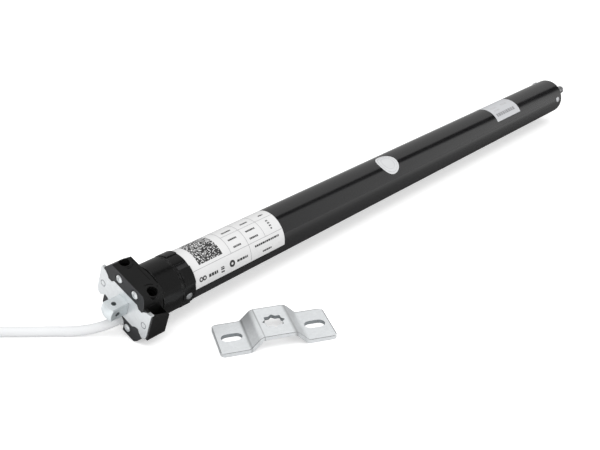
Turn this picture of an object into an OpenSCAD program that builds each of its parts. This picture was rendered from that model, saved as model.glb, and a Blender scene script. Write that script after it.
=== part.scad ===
// Tubular roller blind motor with mechanical limit switches, and its wall bracket.
// X runs along the motor axis from the head to the output shaft, Z is up.
// The origin lies on the axis, in the front face of the mounting plate.
// The motor lies on a table with its head turned a little about the axis.

/* [Motor tube] */
// Outer diameter of the tube
tube_d = 35; // [34:0.25:36]
// Wall of the tube
tube_wall = 1.2; // [0.9:0.1:1.4]
// Length of the tube
tube_len = 532; // [520:2:560]

/* [Head] */
// Turn of the head about the motor axis, as it lies on the table
head_roll = 22; // [15:1:28]
// Width of the upper and lower blocks
block_w = 34; // [33:0.5:36]
// Height of the upper block above the axis
block_top = 21; // [20.5:0.25:22.5]
// Depth of the lower block below the axis
block_bottom = 20.3; // [20:0.1:21.5]
// Depth of the head along the axis
head_depth = 17.2; // [16.5:0.1:19]
// Thickness of the head's front cover
cover_t = 3.7; // [3.5:0.1:4.2]
// Height of the wings behind the plate's lobes
wing_h = 24; // [23:0.5:25]
// Wall of the wings outside the plate's ends
wing_wall = 1.1; // [0.9:0.1:1.5]

/* [Mounting plate] */
// Width of the plate over its lobes
plate_w = 50; // [49:0.5:52]
// Height of the plate over its lobes
plate_h = 25; // [24.5:0.25:26]
// Height of the plate at its waist
plate_waist = 20.6; // [20:0.2:21.6]
// Thickness of the plate
plate_t = 2.5; // [2:0.1:2.8]
// Side of the square stub
stub_side = 10; // [9:0.5:11]
// How far the stub stands out of the plate
stub_len = 14; // [12:0.5:18]
// Diameter of the two cross holes in the stub
stub_hole_d = 3.2; // [2.6:0.1:3.6]
// Screws apart across the head
screw_span_w = 15.5; // [14.5:0.25:17]
// Screws apart over the height of the head
screw_span_h = 31; // [30:0.25:32]
// Diameter of the head screws' heads
screw_head_d = 5.4; // [5:0.1:5.8]

/* [Limit adjusters] */
// Diameter of each adjuster's hole
adjuster_hole_d = 7; // [6.6:0.1:7.4]
// Adjusters apart across the head
adjuster_span = 28; // [26:0.5:28.5]
// Tilt of each adjuster away from upright
adjuster_tilt = 12; // [8:1:14]
// Width over the flats of the adjuster's key socket
key_size = 3; // [2.5:0.1:3.4]

/* [Crown and limit switch] */
// How far the crown ring stands out over the tube
crown_over = 0.9; // [0.7:0.05:1.3]
// Length of the crown ring
crown_len = 17.6; // [17.2:0.1:20]
// Length of the lugged collar behind the crown
collar_len = 9.4; // [9:0.1:12]
// How far the collar's lugs stand out over the tube
lug_over = 1.15; // [1.05:0.05:1.5]
// Length of the switch carrier inside the tube
carrier_len = 26; // [25:0.5:30]
// Width of each microswitch along the axis
switch_w = 6.2; // [5.8:0.1:6.4]

/* [Motor and gearbox] */
// Diameter of the run capacitor
capacitor_d = 25; // [23:0.5:26]
// Length of the run capacitor
capacitor_len = 70; // [60:1:80]
// Length of the stator core
stator_len = 120; // [110:2:130]
// Outer diameter of the rotor core
rotor_d = 18; // [17:0.25:19]
// Diameter of the rotor shaft
rotor_shaft_d = 6; // [5.5:0.25:6.5]
// Module of the planet gears
gear_m = 0.7; // [0.66:0.01:0.72]
// Width of the first stage's planets; each later stage is wider
planet_w = 14; // [12:0.5:16]
// How much wider the planets grow from stage to stage
planet_step = 6; // [4:0.5:7]
// Diameter of the output shaft
output_d = 8; // [7:0.25:9]
// How far the output shaft stands out of the tube
output_len = 34; // [28:1:38]

/* [Wall bracket] */
// Length of the bracket
bracket_len = 75.5; // [74:0.5:84]
// Depth of the bracket
bracket_depth = 34; // [30:1:40]
// Height of the bracket's bridge
bracket_h = 10; // [9.5:0.5:12]
// Thickness of the bracket's steel
bracket_t = 2.5; // [2:0.1:3]
// Length of the flat on top of the bridge
bridge_len = 18.5; // [18:0.5:20]
// Length of each slot
slot_len = 13.8; // [11:0.2:14.4]
// Width of each slot
slot_w = 8.2; // [6:0.2:9]

/* [Supply cable] */
// Diameter of the cable
cable_d = 6.5; // [6:0.1:6.6]

/* [Hidden] */
$fn = 72;

// Clearances that every fit uses
seat_gap = 0.1;
run_gap = 0.05;
face_gap = 0.3;
eps = 0.01;

// Radii
tube_r = tube_d / 2;
bore_r = tube_r - tube_wall;
spigot_r = bore_r - seat_gap;
crown_r = tube_r + crown_over;
hub_r = bore_r - 0.1;
crown_bore_r = hub_r + run_gap;

// Stations along the axis
stub_flange_t = 1.1;
crown_start = head_depth + 0.4;
crown_end = crown_start + crown_len;
tube_start = crown_end + 0.4;
tube_end = tube_start + tube_len;
carrier_start = crown_start + 9.4;
spigot_start = tube_start + eps;
carrier_end = spigot_start + carrier_len;
board_t = 1.6;
board_start = carrier_end;
capacitor_start = board_start + board_t + 4;
capacitor_end = capacitor_start + capacitor_len;

// The drive train is stacked against the end cap, so its stations count back from there
end_cap_len = 16;
output_bearing_len = 12;
shaft_step = 0.4;
bell_t = 14;
winding_len = 18;
brake_len = 30;
plate_gear_t = 3;
stage_room = plate_gear_t + 5;
gear_len = 4 + 3 * (planet_w + planet_step + stage_room);
gear_end = tube_end - end_cap_len - output_bearing_len;
gear_start = gear_end - gear_len;
front_bell_start = gear_start - bell_t;
stator_end = front_bell_start - winding_len;
stator_start = stator_end - stator_len;
rear_bell_end = stator_start - winding_len;
brake_end = rear_bell_end - bell_t;
brake_start = brake_end - brake_len;

// Head details
notch_clear = 0.15;
lobe_in = 18;
waist_half = 11.5;
notch_half = 15;
notch_depth = 2.2;
wing_half = plate_w / 2 + wing_wall;
flank_w = 5.1;
wing_left = block_w / 2 + flank_w;
block_end = head_depth - 2.6;
lower_step = 6;
adjuster_x = cover_t + 4.2;
adjuster_r = adjuster_hole_d / 2;
adjuster_len = 9;
adjuster_drop = 3.2;
cable_u = -0.5;
cable_v = -15.3;
notch_w = cable_d + 3.4;

// Gear values
pressure = 25;
mesh_gap = 0.1;
sun_z = 12;
planet_z = 12;
ring_z = 36;
orbit_r = gear_m * (sun_z + planet_z) / 2;
planet_pin_r = 1.5;
crown_m = 0.8;
crown_z = 36;
pinion_z = 12;
pinion_orbit = crown_m * (crown_z - pinion_z) / 2;
disc_m = 0.6;
disc_z = [20, 21];
row_z = [12, 11];
disc_t = 1.8;
rim_t = 1.5;
rim_r = 5.1;
pinion_axle_r = 1.2;
disc_axle_r = 1.5;

// Unit helpers
function polar(r, a) = [r * cos(a), r * sin(a)];
function involute(a) = tan(a) * 180 / PI - a;
function unit(v) = v / norm(v);

// Half the angle of a tooth at radius r, with side play taken off each flank
function tooth_half(z, m, r, play) =
    let (pitch = m * z / 2, base = pitch * cos(pressure), at = acos(min(1, base / r)))
    90 / z + involute(pressure) - involute(at) - play / pitch * 90 / PI;

// Outline of a gear whose first tooth is centred on the first axis
function gear_points(z, m, root, tip, play) = [
    for (i = [0:z - 1]) let (c = 360 / z * i, mid = m * z / 2)
        each [for (r = [root, mid, tip]) polar(r, c - tooth_half(z, m, r, play)),
              for (r = [tip, mid, root]) polar(r, c + tooth_half(z, m, r, play))]];

module spur(z, m, play = mesh_gap) {
    polygon(gear_points(z, m, m * (z / 2 - 1.25), m * (z / 2 + 0.95), play));
}

// The hollow shape of an internal gear: its spaces are wider by the play
module ring_space(z, m) {
    polygon(gear_points(z, m, m * (z / 2 - 0.8), m * (z / 2 + 1.25), -mesh_gap));
}

// Extrudes an outline of the YZ plane along X
module along_x(from, to) {
    translate([from, 0, 0]) rotate([90, 0, 90]) linear_extrude(to - from) children();
}

module rod_x(from, to, r) {
    translate([from, 0, 0]) rotate([0, 90, 0]) cylinder(h = to - from, r = r);
}

module pipe_x(from, to, outer, inner) {
    difference() {
        rod_x(from, to, outer);
        rod_x(from - 1, to + 1, inner);
    }
}

// Turned part: points are [station along X, radius]
module turned(points) {
    rotate([0, 90, 0]) rotate_extrude() polygon([for (p = points) [p[1], p[0]]]);
}

// The head's own frame, turned about the motor axis
module in_head() {
    rotate([head_roll, 0, 0]) children();
}

module mirrored_y() {
    children();
    mirror([0, 1, 0]) children();
}

// Bow-tie outline of the plate: a waist between four lobes, grown by g
module plate_outline(g = 0) {
    w = plate_w / 2 + g;
    h = plate_h / 2 + g;
    waist = plate_waist / 2 + g;
    notch = waist - notch_depth;
    upper = [[waist_half + g, waist], [waist_half + 2 + g, notch], [notch_half + 1.8 - g, notch],
             [lobe_in - g, h - 2.6], [lobe_in + 2.6 - g, h - 0.8], [w - 0.6, h], [w, h - 0.6]];
    lower = [[w, 5.8 - h], [w - 1, 2.4 - h], [w - 3.8, 1.4 - h], [lobe_in + 0.4 - g, 3.4 - h],
             [notch_half + 2 - g, 1 - notch], [notch_half - 0.8 + g, 0.4 - notch], [waist_half + 0.2 + g, 0.6 - waist]];
    right = concat(upper, lower);
    left = [for (i = [len(right) - 1:-1:0]) [-right[i][0], right[i][1]]];
    polygon(concat(right, left));
}

module mounting_plate() {
    mark_r = 2.4;
    color("silver") in_head() difference() {
        along_x(0, plate_t) plate_outline();
        along_x(-1, plate_t + 1) square(stub_side + 2 * seat_gap, center = true);
        mirrored_y() translate([0, plate_w / 2 - 4.4, 0]) difference() {
            rod_x(-1, 0.3, mark_r);
            rod_x(-2, 1, mark_r - 0.6);
        }
    }
}

module stub_outline() {
    intersection() {
        square(stub_side, center = true);
        rotate(45) square(stub_side * sqrt(2) - 1, center = true);
    }
}

module square_stub() {
    dome_r = stub_side * 1.1;
    flange_r = stub_side / 2 * sqrt(2) + 0.9;
    cross_x = -stub_len * 0.57;
    color("silver") in_head() difference() {
        union() {
            intersection() {
                along_x(-stub_len, plate_t) stub_outline();
                translate([dome_r - stub_len, 0, 0]) sphere(r = dome_r);
            }
            rod_x(plate_t / 2, plate_t, stub_side / 2);
            rod_x(plate_t, plate_t + stub_flange_t, flange_r);
        }
        translate([cross_x, 0, 0]) cylinder(h = stub_side * 2, d = stub_hole_d, center = true);
        translate([cross_x, 0, 0]) rotate([90, 0, 0]) cylinder(h = stub_side * 2, d = stub_hole_d, center = true);
    }
}

// Upper outline of the head's blocks: one side upright, the other a flank that runs down to its wing
module upper_block() {
    half = block_w / 2;
    polygon([[-half - 0.9, 0], [-half - 0.9, wing_h / 2 - 1.2], [-half - 0.5, block_top - 6.6],
             [0.7 - half, block_top - 1.7], [2.4 - half, block_top], [half - 1, block_top],
             [half + flank_w, wing_h / 2 + 1.6], [half + flank_w, 0]]);
}

// Lower outline: it widens into the wing on one side and stays upright on the other
module lower_block() {
    foot = block_w / 2 - 1;
    polygon([[-foot, -block_bottom], [-foot - 2.9, 3.4 - block_bottom], [-foot - lower_step, 1 - wing_h / 2],
             [-foot - lower_step, 0], [foot + 2, 0], [foot + 2, 5.4 - block_bottom], [foot - 2, -block_bottom]]);
}

module cable_notch(from, to) {
    translate([0, -cable_u - notch_w / 2, -block_bottom - 1])
        translate([from, 0, 0]) cube([to - from, notch_w, block_bottom + 1 + cable_v]);
    translate([0, -cable_u, cable_v]) rod_x(from, to, notch_w / 2);
}

module screw_places() {
    for (y = [-1, 1], z = [-1, 1])
        translate([0, y * screw_span_w / 2, z * screw_span_h / 2]) children();
}

module head_cover() {
    color("dimgray") in_head() difference() {
        union() {
            along_x(0, cover_t) union() {
                upper_block();
                lower_block();
            }
            along_x(0.5, cover_t) translate([-wing_half, 2.6 - wing_h / 2]) square([wing_half + wing_left, wing_h - 2.6]);
        }
        along_x(-1, plate_t) plate_outline(notch_clear);
        along_x(-1, plate_t) square([stub_side * 2, stub_side + 5], center = true);
        translate([plate_t, 0, 0]) recess();
        rod_x(-1, cover_t + 1, stub_side / 2 * sqrt(2) + 0.9 + seat_gap);
        cable_notch(-1, cover_t + 1);
        screw_places() {
            rod_x(-1, 1.2, screw_head_d / 2 + 0.5);
            rod_x(-1, cover_t + 1, 1.7);
        }
    }
}

module adjuster_frame(side) {
    translate([adjuster_x, side * adjuster_span / 2, block_top])
        rotate([-side * adjuster_tilt, 0, 0]) children();
}

// Deep pocket between the upright side of the block and its wing, open at the top
module recess() {
    inner = block_w / 2 + 0.9;
    translate([0, -wing_half + wing_wall + 0.7, -2]) cube([head_depth - 5.4, wing_half - wing_wall - 0.7 - inner, wing_h]);
}

// Two wings: their tops slope down towards the back, their lower edges are cut off at a slant
module wings() {
    back = head_depth - 2.4;
    difference() {
        along_x(cover_t, back) translate([-wing_half, -wing_h / 2]) square([wing_half + wing_left, wing_h]);
        mirrored_y() translate([0.5, block_w / 2 + 1, wing_h / 2 + 0.9])
            rotate([0, 22, 0]) cube([back * 1.3, wing_half, wing_h]);
        mirrored_y() translate([cover_t - 1, wing_half, 2.6 - wing_h / 2])
            rotate([-45, 0, 0]) translate([0, -wing_h, -wing_h]) cube([back + 1, wing_h * 2, wing_h]);
    }
}

// Raised rim round an adjuster's hole
module adjuster_rim() {
    translate([0, 0, -adjuster_len]) cylinder(h = adjuster_len - 0.5, r = adjuster_r + 0.65);
}

// Marks in the block's top beside an adjuster's hole: a curved groove and a dot
module adjuster_marks() {
    mark_depth = 0.4;
    inner = adjuster_r + 1.55;
    for (side = [-1, 1]) translate([adjuster_x - 0.3, side * (adjuster_span / 2 - 0.3), block_top - mark_depth]) {
        intersection() {
            difference() {
                cylinder(h = 3, r = inner + 0.7);
                translate([0, 0, -1]) cylinder(h = 5, r = inner);
            }
            linear_extrude(3) polygon([[0, 0], [-2.2, -side * 8], [8, -side * 7.4]]);
        }
        translate([inner + 0.2, -side * 1.3, 0]) cylinder(h = 3, r = 0.6);
    }
    translate([block_end - 2.4, -6.2, block_top - 0.3]) cube([0.4, 12.4, 3]);
}

module head_housing() {
    hollow_r = 12.2;
    color("dimgray") in_head() difference() {
        union() {
            difference() {
                union() {
                    along_x(cover_t, block_end) union() {
                        upper_block();
                        lower_block();
                    }
                    wings();
                }
                translate([plate_t, 0, 0]) recess();
            }
            for (side = [-1, 1]) adjuster_frame(side) adjuster_rim();
            rod_x(cover_t, head_depth, spigot_r);
            rod_x(block_end - 1, head_depth, crown_r - 0.2);
            rod_x(cover_t, carrier_start, hub_r);
        }
        rod_x(cover_t + 4, carrier_start - 2, hollow_r);
        rod_x(cover_t + 3.5, carrier_start + 1, 4);
        translate([0, -pinion_orbit, 0]) rod_x(carrier_start - 1.5, carrier_start + 1, pinion_axle_r + run_gap);
        screw_places() rod_x(cover_t - 1, head_depth - 4, 1.35);
        adjuster_marks();
        cable_notch(cover_t - 1, cover_t + 5);
        translate([0, -cable_u, cable_v]) rod_x(cover_t - 1, cover_t + 6, cable_d / 2 + 1);
        for (side = [-1, 1]) adjuster_frame(side) {
            translate([0, 0, -adjuster_len - adjuster_drop - 1.5])
                cylinder(h = adjuster_len * 2 + 6, d = adjuster_hole_d);
        }
    }
}

module cover_screws() {
    color("silver") in_head() screw_places() difference() {
        turned([[-0.7, 0], [-0.55, screw_head_d / 4], [0, screw_head_d / 2], [1.2, screw_head_d / 2],
                [1.2, 1.35 - seat_gap / 2], [head_depth - 5, 1.35 - seat_gap / 2], [head_depth - 4.5, 0]]);
        for (a = [0, 90]) rotate([a, 0, 0]) translate([-1.2, -0.4, -1.5]) cube([1.3, 0.8, 3]);
    }
}

module limit_adjuster(side, paint) {
    body_r = adjuster_r - run_gap;
    color(paint) in_head() adjuster_frame(side) translate([0, 0, -adjuster_len - adjuster_drop]) difference() {
        union() {
            cylinder(h = adjuster_len, r = body_r);
            translate([0, 0, -1.2]) cylinder(h = 1.2 + eps, r = body_r - 1.2);
        }
        translate([0, 0, adjuster_len - 4]) cylinder(h = 5, d = key_size / cos(30), $fn = 6);
        translate([0, 0, adjuster_len - 0.8]) cylinder(h = 1, r = body_r - 0.8);
    }
}

module cable_grommet() {
    flange_r = cable_d / 2 + 1.5;
    color("white") in_head() translate([0, -cable_u, cable_v]) difference() {
        union() {
            rod_x(1, cover_t + 4.6, flange_r - 0.1);
            rod_x(0, 1.2, flange_r - 0.7);
        }
        rod_x(-1, cover_t + 9, cable_d / 2 + run_gap);
    }
}

module crown_ring() {
    teeth_start = carrier_start + 0.6;
    color("dimgray") difference() {
        turned([[crown_start, crown_bore_r], [crown_start, crown_r - 0.6], [crown_start + 0.6, crown_r],
                [crown_end - 1.6, crown_r], [crown_end - 1.6, crown_r - 0.35], [crown_end - 0.9, crown_r - 0.35],
                [crown_end - 0.9, crown_r], [crown_end - 0.2, crown_r], [crown_end, crown_r - 0.2],
                [crown_end, crown_m * (crown_z / 2 - 0.9)], [teeth_start, crown_m * (crown_z / 2 - 0.9)],
                [teeth_start, crown_bore_r]]);
        along_x(teeth_start - 1, crown_end + 1) rotate(head_roll) ring_space(crown_z, crown_m);
    }
}

// Neck inside the crown's teeth, web, and the open barrel that holds the counter discs
module switch_carrier() {
    color("ivory") difference() {
        in_head() carrier_body();
        tube_rivet_places() cylinder(h = tube_r * 2, r = 1.6);
    }
}

module carrier_body() {
    neck_r = crown_m * (crown_z / 2 - 0.8) - 0.4;
    wall = 1.3;
    web = 2;
    window = crown_m * (pinion_z / 2 + 1) + 0.3;
    row_tip = disc_m * (row_z[0] / 2 + 0.95);
    axle_end = disc_start(1) + disc_stack + 0.6;
    difference() {
        union() {
            pipe_x(carrier_start, tube_start + web, neck_r, neck_r - wall);
            rod_x(tube_start + eps, tube_start + web, spigot_r);
            pipe_x(tube_start + 0.1, carrier_end, spigot_r, spigot_r - wall);
            rod_x(tube_start + web - eps, axle_end, disc_axle_r);
            rod_x(tube_start + web - eps, tube_start + web + 0.6, 3);
        }
        translate([carrier_start - 1, -crown_r, -window])
            cube([tube_start - carrier_start + 1 - eps, crown_r - 4.4, window * 2]);
        translate([0, -pinion_orbit, 0]) rod_x(tube_start - 1, tube_start + web + 1, row_tip + 0.3);
        translate([0, -cable_u, cable_v + 5.6]) rod_x(carrier_start - 1, tube_start + web + 1, 2.4);
    }
}

// Two steel pins that the limit switches are threaded on
pin_span = 9.5;
pin_z = 10.9;
module switch_pins() {
    color("silver") in_head() for (side = [-1, 1])
        translate([0, side * pin_span / 2, pin_z]) rod_x(tube_start + 2, board_start, 0.8);
}

// Each limit has two discs side by side, their rims facing each other
disc_stack = 2 * (disc_t + rim_t) + 0.2;
function disc_start(index) = tube_start + 2.7 + index * (disc_stack + 0.3);

// Long pinion: wide teeth under the crown, then a pair of small rows for each limit
module crown_pinion() {
    front = carrier_start + 1;
    neck_r = disc_m * (row_z[1] / 2 - 1.25);
    color("goldenrod") in_head() translate([0, -pinion_orbit, 0]) {
        rod_x(carrier_start - 1.4, front, pinion_axle_r);
        along_x(front - eps, tube_start - 0.5) spur(pinion_z, crown_m);
        rod_x(tube_start - 0.5 - eps, board_start, neck_r);
        for (index = [0, 1], k = [0, 1]) let (from = disc_start(index) + k * (disc_stack - disc_t))
            along_x(from, from + disc_t) spur(row_z[k], disc_m);
        rod_x(board_start - eps, board_start + board_t, pinion_axle_r);
    }
}

// Counter disc: a toothed wheel with a notched rim, facing the other disc of its pair
module counter_disc(index, k, paint) {
    from = disc_start(index) + k * (disc_stack - disc_t);
    rim_from = k == 0 ? from + disc_t - eps : from - rim_t;
    notch_at = 50 + index * 140 + k * 35;
    color(paint) in_head() difference() {
        union() {
            along_x(from, from + disc_t) rotate(180 - 180 / disc_z[k]) spur(disc_z[k], disc_m);
            rod_x(rim_from, rim_from + rim_t + eps, rim_r);
        }
        rod_x(from - rim_t - 1, from + disc_t + rim_t + 1, disc_axle_r + run_gap);
        rotate([notch_at, 0, 0]) translate([rim_from - (k == 0 ? 0 : 1), rim_r - 1, -1.4])
            cube([rim_t + (k == 0 ? 1 : 1) + (k == 0 ? eps : 0), 2, 2.8]);
    }
}

// Microswitch over the pair of discs, its blade resting just above their rims
module limit_switch(index) {
    mid = disc_start(index) + disc_stack / 2;
    color("darkslategray") in_head() difference() {
        translate([mid - switch_w / 2, -6.2, 9]) cube([switch_w, 12.4, 4]);
        for (side = [-1, 1]) translate([0, side * pin_span / 2, pin_z])
            rod_x(mid - switch_w, mid + switch_w, 0.8 + run_gap);
        translate([mid - 1.1 - run_gap, -1 - run_gap, 8]) cube([2.2 + 2 * run_gap, 2 + 2 * run_gap, 3.6]);
    }
}

module switch_plunger(index) {
    mid = disc_start(index) + disc_stack / 2;
    color("red") in_head() difference() {
        translate([mid - 1.1, -1, rim_r + 0.3]) cube([2.2, 2, 10.6 - rim_r]);
        for (side = [-1, 1]) translate([mid, side * 1.1, rim_r + 0.3]) rotate([45, 0, 0])
            cube([3, 0.9, 0.9], center = true);
    }
}

module terminal_board() {
    color("darkgreen") in_head() difference() {
        union() {
            rod_x(board_start, board_start + board_t, spigot_r);
            for (y = [-6, -2, 2, 6]) translate([board_start + board_t - eps, y - 1.4, -3])
                cube([3, 2.8, 6]);
        }
        translate([0, -pinion_orbit, 0]) rod_x(board_start - 1, board_start + 9, pinion_axle_r + run_gap);
        translate([0, -cable_u, cable_v + 5.6]) rod_x(board_start - 1, board_start + 9, 2.4);
    }
}

module motor_tube() {
    color("#2b2b2d") difference() {
        pipe_x(tube_start, tube_end, tube_r, bore_r);
        tube_rivet_places() cylinder(h = tube_r * 2, r = 1.6);
        tube_screw_places() cylinder(h = tube_r * 2, r = 1.6);
    }
}

rivet_x = tube_start + 4.4;
rivet_angle = 199;
module tube_rivet_places() {
    for (a = [0, 180]) translate([rivet_x, 0, 0]) rotate([rivet_angle + a - 90, 0, 0]) children();
}

screw_x = tube_end - 9;
screw_angle = 172;
module tube_screw_places() {
    for (a = [0, 120, 240]) translate([screw_x, 0, 0]) rotate([screw_angle + a - 90, 0, 0]) children();
}

// Lugged collar: four lugs, two deep slots and two rivet windows
module tube_collar() {
    base_r = tube_r + 0.45;
    lug_w = 38;
    color("dimgray") difference() {
        union() {
            pipe_x(tube_start, tube_start + collar_len, base_r, tube_r + 0.02);
            for (a = [152, 72, 332, 252]) lug(a, lug_w);
        }
        for (a = [126, 306]) slot_cut(a, 13);
        tube_rivet_places() cylinder(h = tube_r * 2, r = 3.3);
    }
}

module wedge(a, w) {
    polygon([[0, 0], polar(tube_r * 2, a - w / 2), polar(tube_r * 2, a), polar(tube_r * 2, a + w / 2)]);
}

module lug(a, w) {
    intersection() {
        pipe_x(tube_start + 0.9, tube_start + collar_len, tube_r + lug_over, tube_r + 0.02);
        along_x(tube_start, tube_start + collar_len + 1) wedge(a, w);
    }
}

module slot_cut(a, w) {
    along_x(tube_start + 0.9, tube_start + collar_len + 1) difference() {
        wedge(a, w);
        circle(r = tube_r - 1);
    }
}

module tube_rivets() {
    color("silver") tube_rivet_places() rotate_extrude() polygon([[0, spigot_r - 1.2], [1.5, spigot_r - 1.2],
        [1.5, tube_r + 0.02], [2.6, tube_r + 0.02], [2.3, tube_r + 0.5], [1.4, tube_r + 0.75], [0, tube_r + 0.8]]);
}

module tube_screws() {
    color("silver") tube_screw_places() difference() {
        rotate_extrude() polygon([[0, bore_r - 4], [1.5, bore_r - 3], [1.5, tube_r + 0.02], [2.7, tube_r + 0.02],
            [2.4, tube_r + 0.7], [1.4, tube_r + 1.1], [0, tube_r + 1.2]]);
        for (a = [0, 90]) rotate([0, 0, a]) translate([-1.4, -0.35, tube_r + 0.5]) cube([2.8, 0.7, 2]);
    }
}

module run_capacitor() {
    r = capacitor_d / 2;
    color("whitesmoke") union() {
        turned([[capacitor_start, 0], [capacitor_start, r - 2], [capacitor_start + 1, r - 2],
                [capacitor_start + 1, r], [capacitor_end - 1, r], [capacitor_end, r - 1], [capacitor_end, 0]]);
        in_head() for (y = [-4, 4]) translate([capacitor_start - 4, y - 0.4, -3]) cube([4 + eps, 0.8, 6]);
    }
}

// Two foam rings that keep the capacitor in the middle of the tube and let the leads pass
module capacitor_rings() {
    ring_w = 7;
    color("darkgray") difference() {
        for (x = [capacitor_start + 8, capacitor_end - 8 - ring_w])
            pipe_x(x, x + ring_w, bore_r - 0.02, capacitor_d / 2 + 0.02);
        along_x(capacitor_start, capacitor_end) rotate(271) polygon([[0, 0], [2 * bore_r, -bore_r], [2 * bore_r, bore_r]]);
    }
}

lead_r = 0.8;
lead_path_r = bore_r - lead_r - 0.4;
module inner_leads() {
    for (i = [0:3]) color(["saddlebrown", "black", "royalblue", "green"][i])
        rotate([250 + i * 14, 0, 0]) translate([0, lead_path_r, 0])
            rod_x(board_start + board_t, brake_start, lead_r);
}

module brake_housing() {
    color("gray") difference() {
        pipe_x(brake_start, brake_end, bore_r - seat_gap, bore_r - 3);
        rod_x(brake_end - 7, brake_end - 4, bore_r - 2);
    }
    color("gray") pipe_x(brake_start, brake_start + 4, bore_r - 2.9, 4.5);
}

module brake_spring() {
    turns = 5;
    wire = 0.6;
    from = brake_start + 4;
    to = from + 6.5;
    mean = 6.4;
    steps = turns * 10;
    color("silver") sweep([for (i = [0:steps]) let (a = 360 / 10 * i)
        [from + wire + (to - from - 2 * wire) * i / steps, mean * cos(a), mean * sin(a)]], wire, 6, [1, 0, 0]);
}

module brake_armature() {
    start = brake_start + 11.2;
    color("gray") pipe_x(start, start + 4, bore_r - 3.1, rotor_shaft_d / 2 + 1);
}

module brake_disc() {
    start = brake_start + 15.3;
    color("sienna") difference() {
        union() {
            rod_x(start, start + 3, bore_r - 3.6);
            rod_x(start + 3 - eps, start + 8, 6);
        }
        rod_x(start - 1, start + 9, rotor_shaft_d / 2);
    }
}

module bell(inner_face, outer_face) {
    // Bearing seat opens towards the stator
    lo = min(inner_face, outer_face);
    hi = max(inner_face, outer_face);
    step = inner_face > outer_face ? [hi - bearing_w, hi + 1] : [lo - 1, lo + bearing_w];
    color("lightgray") difference() {
        rod_x(lo, hi, bore_r - seat_gap);
        rod_x(lo - 1, hi + 1, rotor_shaft_d / 2 + 0.6);
        rod_x(step[0], step[1], bearing_r + run_gap);
    }
}

bearing_r = 8;
bearing_w = 5;
module rear_bell() {
    bell(rear_bell_end, brake_end + eps);
}

module front_bell() {
    bell(front_bell_start, gear_start - eps);
}

module bearing(from) {
    color("silver") difference() {
        pipe_x(from, from + bearing_w, bearing_r, rotor_shaft_d / 2 + run_gap);
        for (x = [from - 1, from + bearing_w - 0.6]) pipe_x(x, x + 1.6, bearing_r - 1.2, rotor_shaft_d / 2 + 1.2);
    }
}

module rear_bearing() {
    bearing(rear_bell_end - bearing_w);
}

module front_bearing() {
    bearing(front_bell_start);
}

module stator_core() {
    slots = 8;
    color("dimgray") difference() {
        pipe_x(stator_start, stator_end, bore_r - seat_gap, rotor_d / 2 + 0.4);
        for (i = [0:slots - 1]) rotate([360 / slots * (i + 0.5), 0, 0]) translate([stator_start - 1, rotor_d / 2, -1.4])
            cube([stator_len + 2, 4.2, 2.8]);
    }
}

module stator_winding() {
    inner = rotor_d / 2 + 0.6;
    outer = rotor_d / 2 + 4.1;
    color("#b4652a") for (s = [stator_start - winding_len + 3, stator_end])
        turned([[s, inner + 1], [s, outer - 1], [s + 1, outer], [s + winding_len - 4, outer],
                [s + winding_len - 3, outer - 1], [s + winding_len - 3, inner + 1], [s + winding_len - 4, inner],
                [s + 1, inner]]);
}

module rotor_core() {
    bars = 12;
    color("#8d8f92") difference() {
        rod_x(stator_start - 2, stator_end + 2, rotor_d / 2);
        rod_x(stator_start - 4, stator_end + 4, rotor_shaft_d / 2);
        for (i = [0:bars - 1]) rotate([360 / bars * i, 0, 0]) translate([stator_start + 3, rotor_d / 2 - 0.5, -0.3])
            cube([stator_len - 6, 1, 0.6]);
    }
}

// Shaft with the first sun gear cut on its end
module rotor_shaft() {
    sun_from = stage_start(0) - 1;
    color("silver") union() {
        rod_x(brake_start + 14, sun_from + eps, rotor_shaft_d / 2);
        along_x(sun_from, stage_start(0) + stage_w(0)) rotate(15) spur(sun_z, gear_m);
    }
}

// Each stage is a row of planets and the plate that carries them; the torque grows, so does the width
function stage_w(i) = planet_w + i * planet_step;
function stage_start(i) = gear_start + 4 + (i == 0 ? 0 : i * stage_room + i * planet_w + planet_step * i * (i - 1) / 2);

module ring_gear() {
    color("#4a4d50") difference() {
        rod_x(gear_start, gear_end, bore_r - seat_gap);
        along_x(gear_start - 1, gear_end + 1) ring_space(ring_z, gear_m);
    }
}

module planet(stage, place) {
    from = stage_start(stage);
    a = 120 * place;
    color("goldenrod") rotate([a, 0, 0]) translate([0, orbit_r, 0]) difference() {
        along_x(from, from + stage_w(stage)) spur(planet_z, gear_m);
        rod_x(from - 1, from + stage_w(stage) + 1, planet_pin_r + run_gap);
    }
}

module planet_pins(stage) {
    plate_from = stage_start(stage) + stage_w(stage) + face_gap;
    plate_r = gear_m * (ring_z / 2 - 0.8) - 0.5;
    rod_x(plate_from, plate_from + plate_gear_t, plate_r);
    for (i = [0:2]) rotate([120 * i, 0, 0]) translate([0, orbit_r, 0])
        rod_x(stage_start(stage) - 0.5, plate_from + eps, planet_pin_r);
}

module carrier(stage) {
    plate_from = stage_start(stage) + stage_w(stage) + face_gap;
    color("silver") union() {
        planet_pins(stage);
        along_x(plate_from + plate_gear_t - eps, stage_start(stage + 1) + stage_w(stage + 1))
            rotate(15) spur(sun_z, gear_m);
    }
}

module output_shaft() {
    r = output_d / 2;
    plate_to = stage_start(2) + stage_w(2) + face_gap + plate_gear_t;
    tip = tube_end + output_len;
    groove = tip - 5;
    flat_len = 9;
    root_r = r + shaft_step;
    color("silver") difference() {
        union() {
            planet_pins(2);
            rod_x(plate_to - eps, gear_end + output_bearing_len - 1, 6);
            turned([[gear_end, 0], [gear_end, root_r], [tube_end + 1, root_r], [tube_end + 1, r],
                    [groove, r], [groove, r - 0.7], [groove + 1.1, r - 0.7],
                    [groove + 1.1, r], [tip - 1, r], [tip, r - 1], [tip, 0]]);
        }
        translate([groove - flat_len - 1, r - 0.5, -r]) cube([flat_len, 2, output_d]);
    }
}

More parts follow.
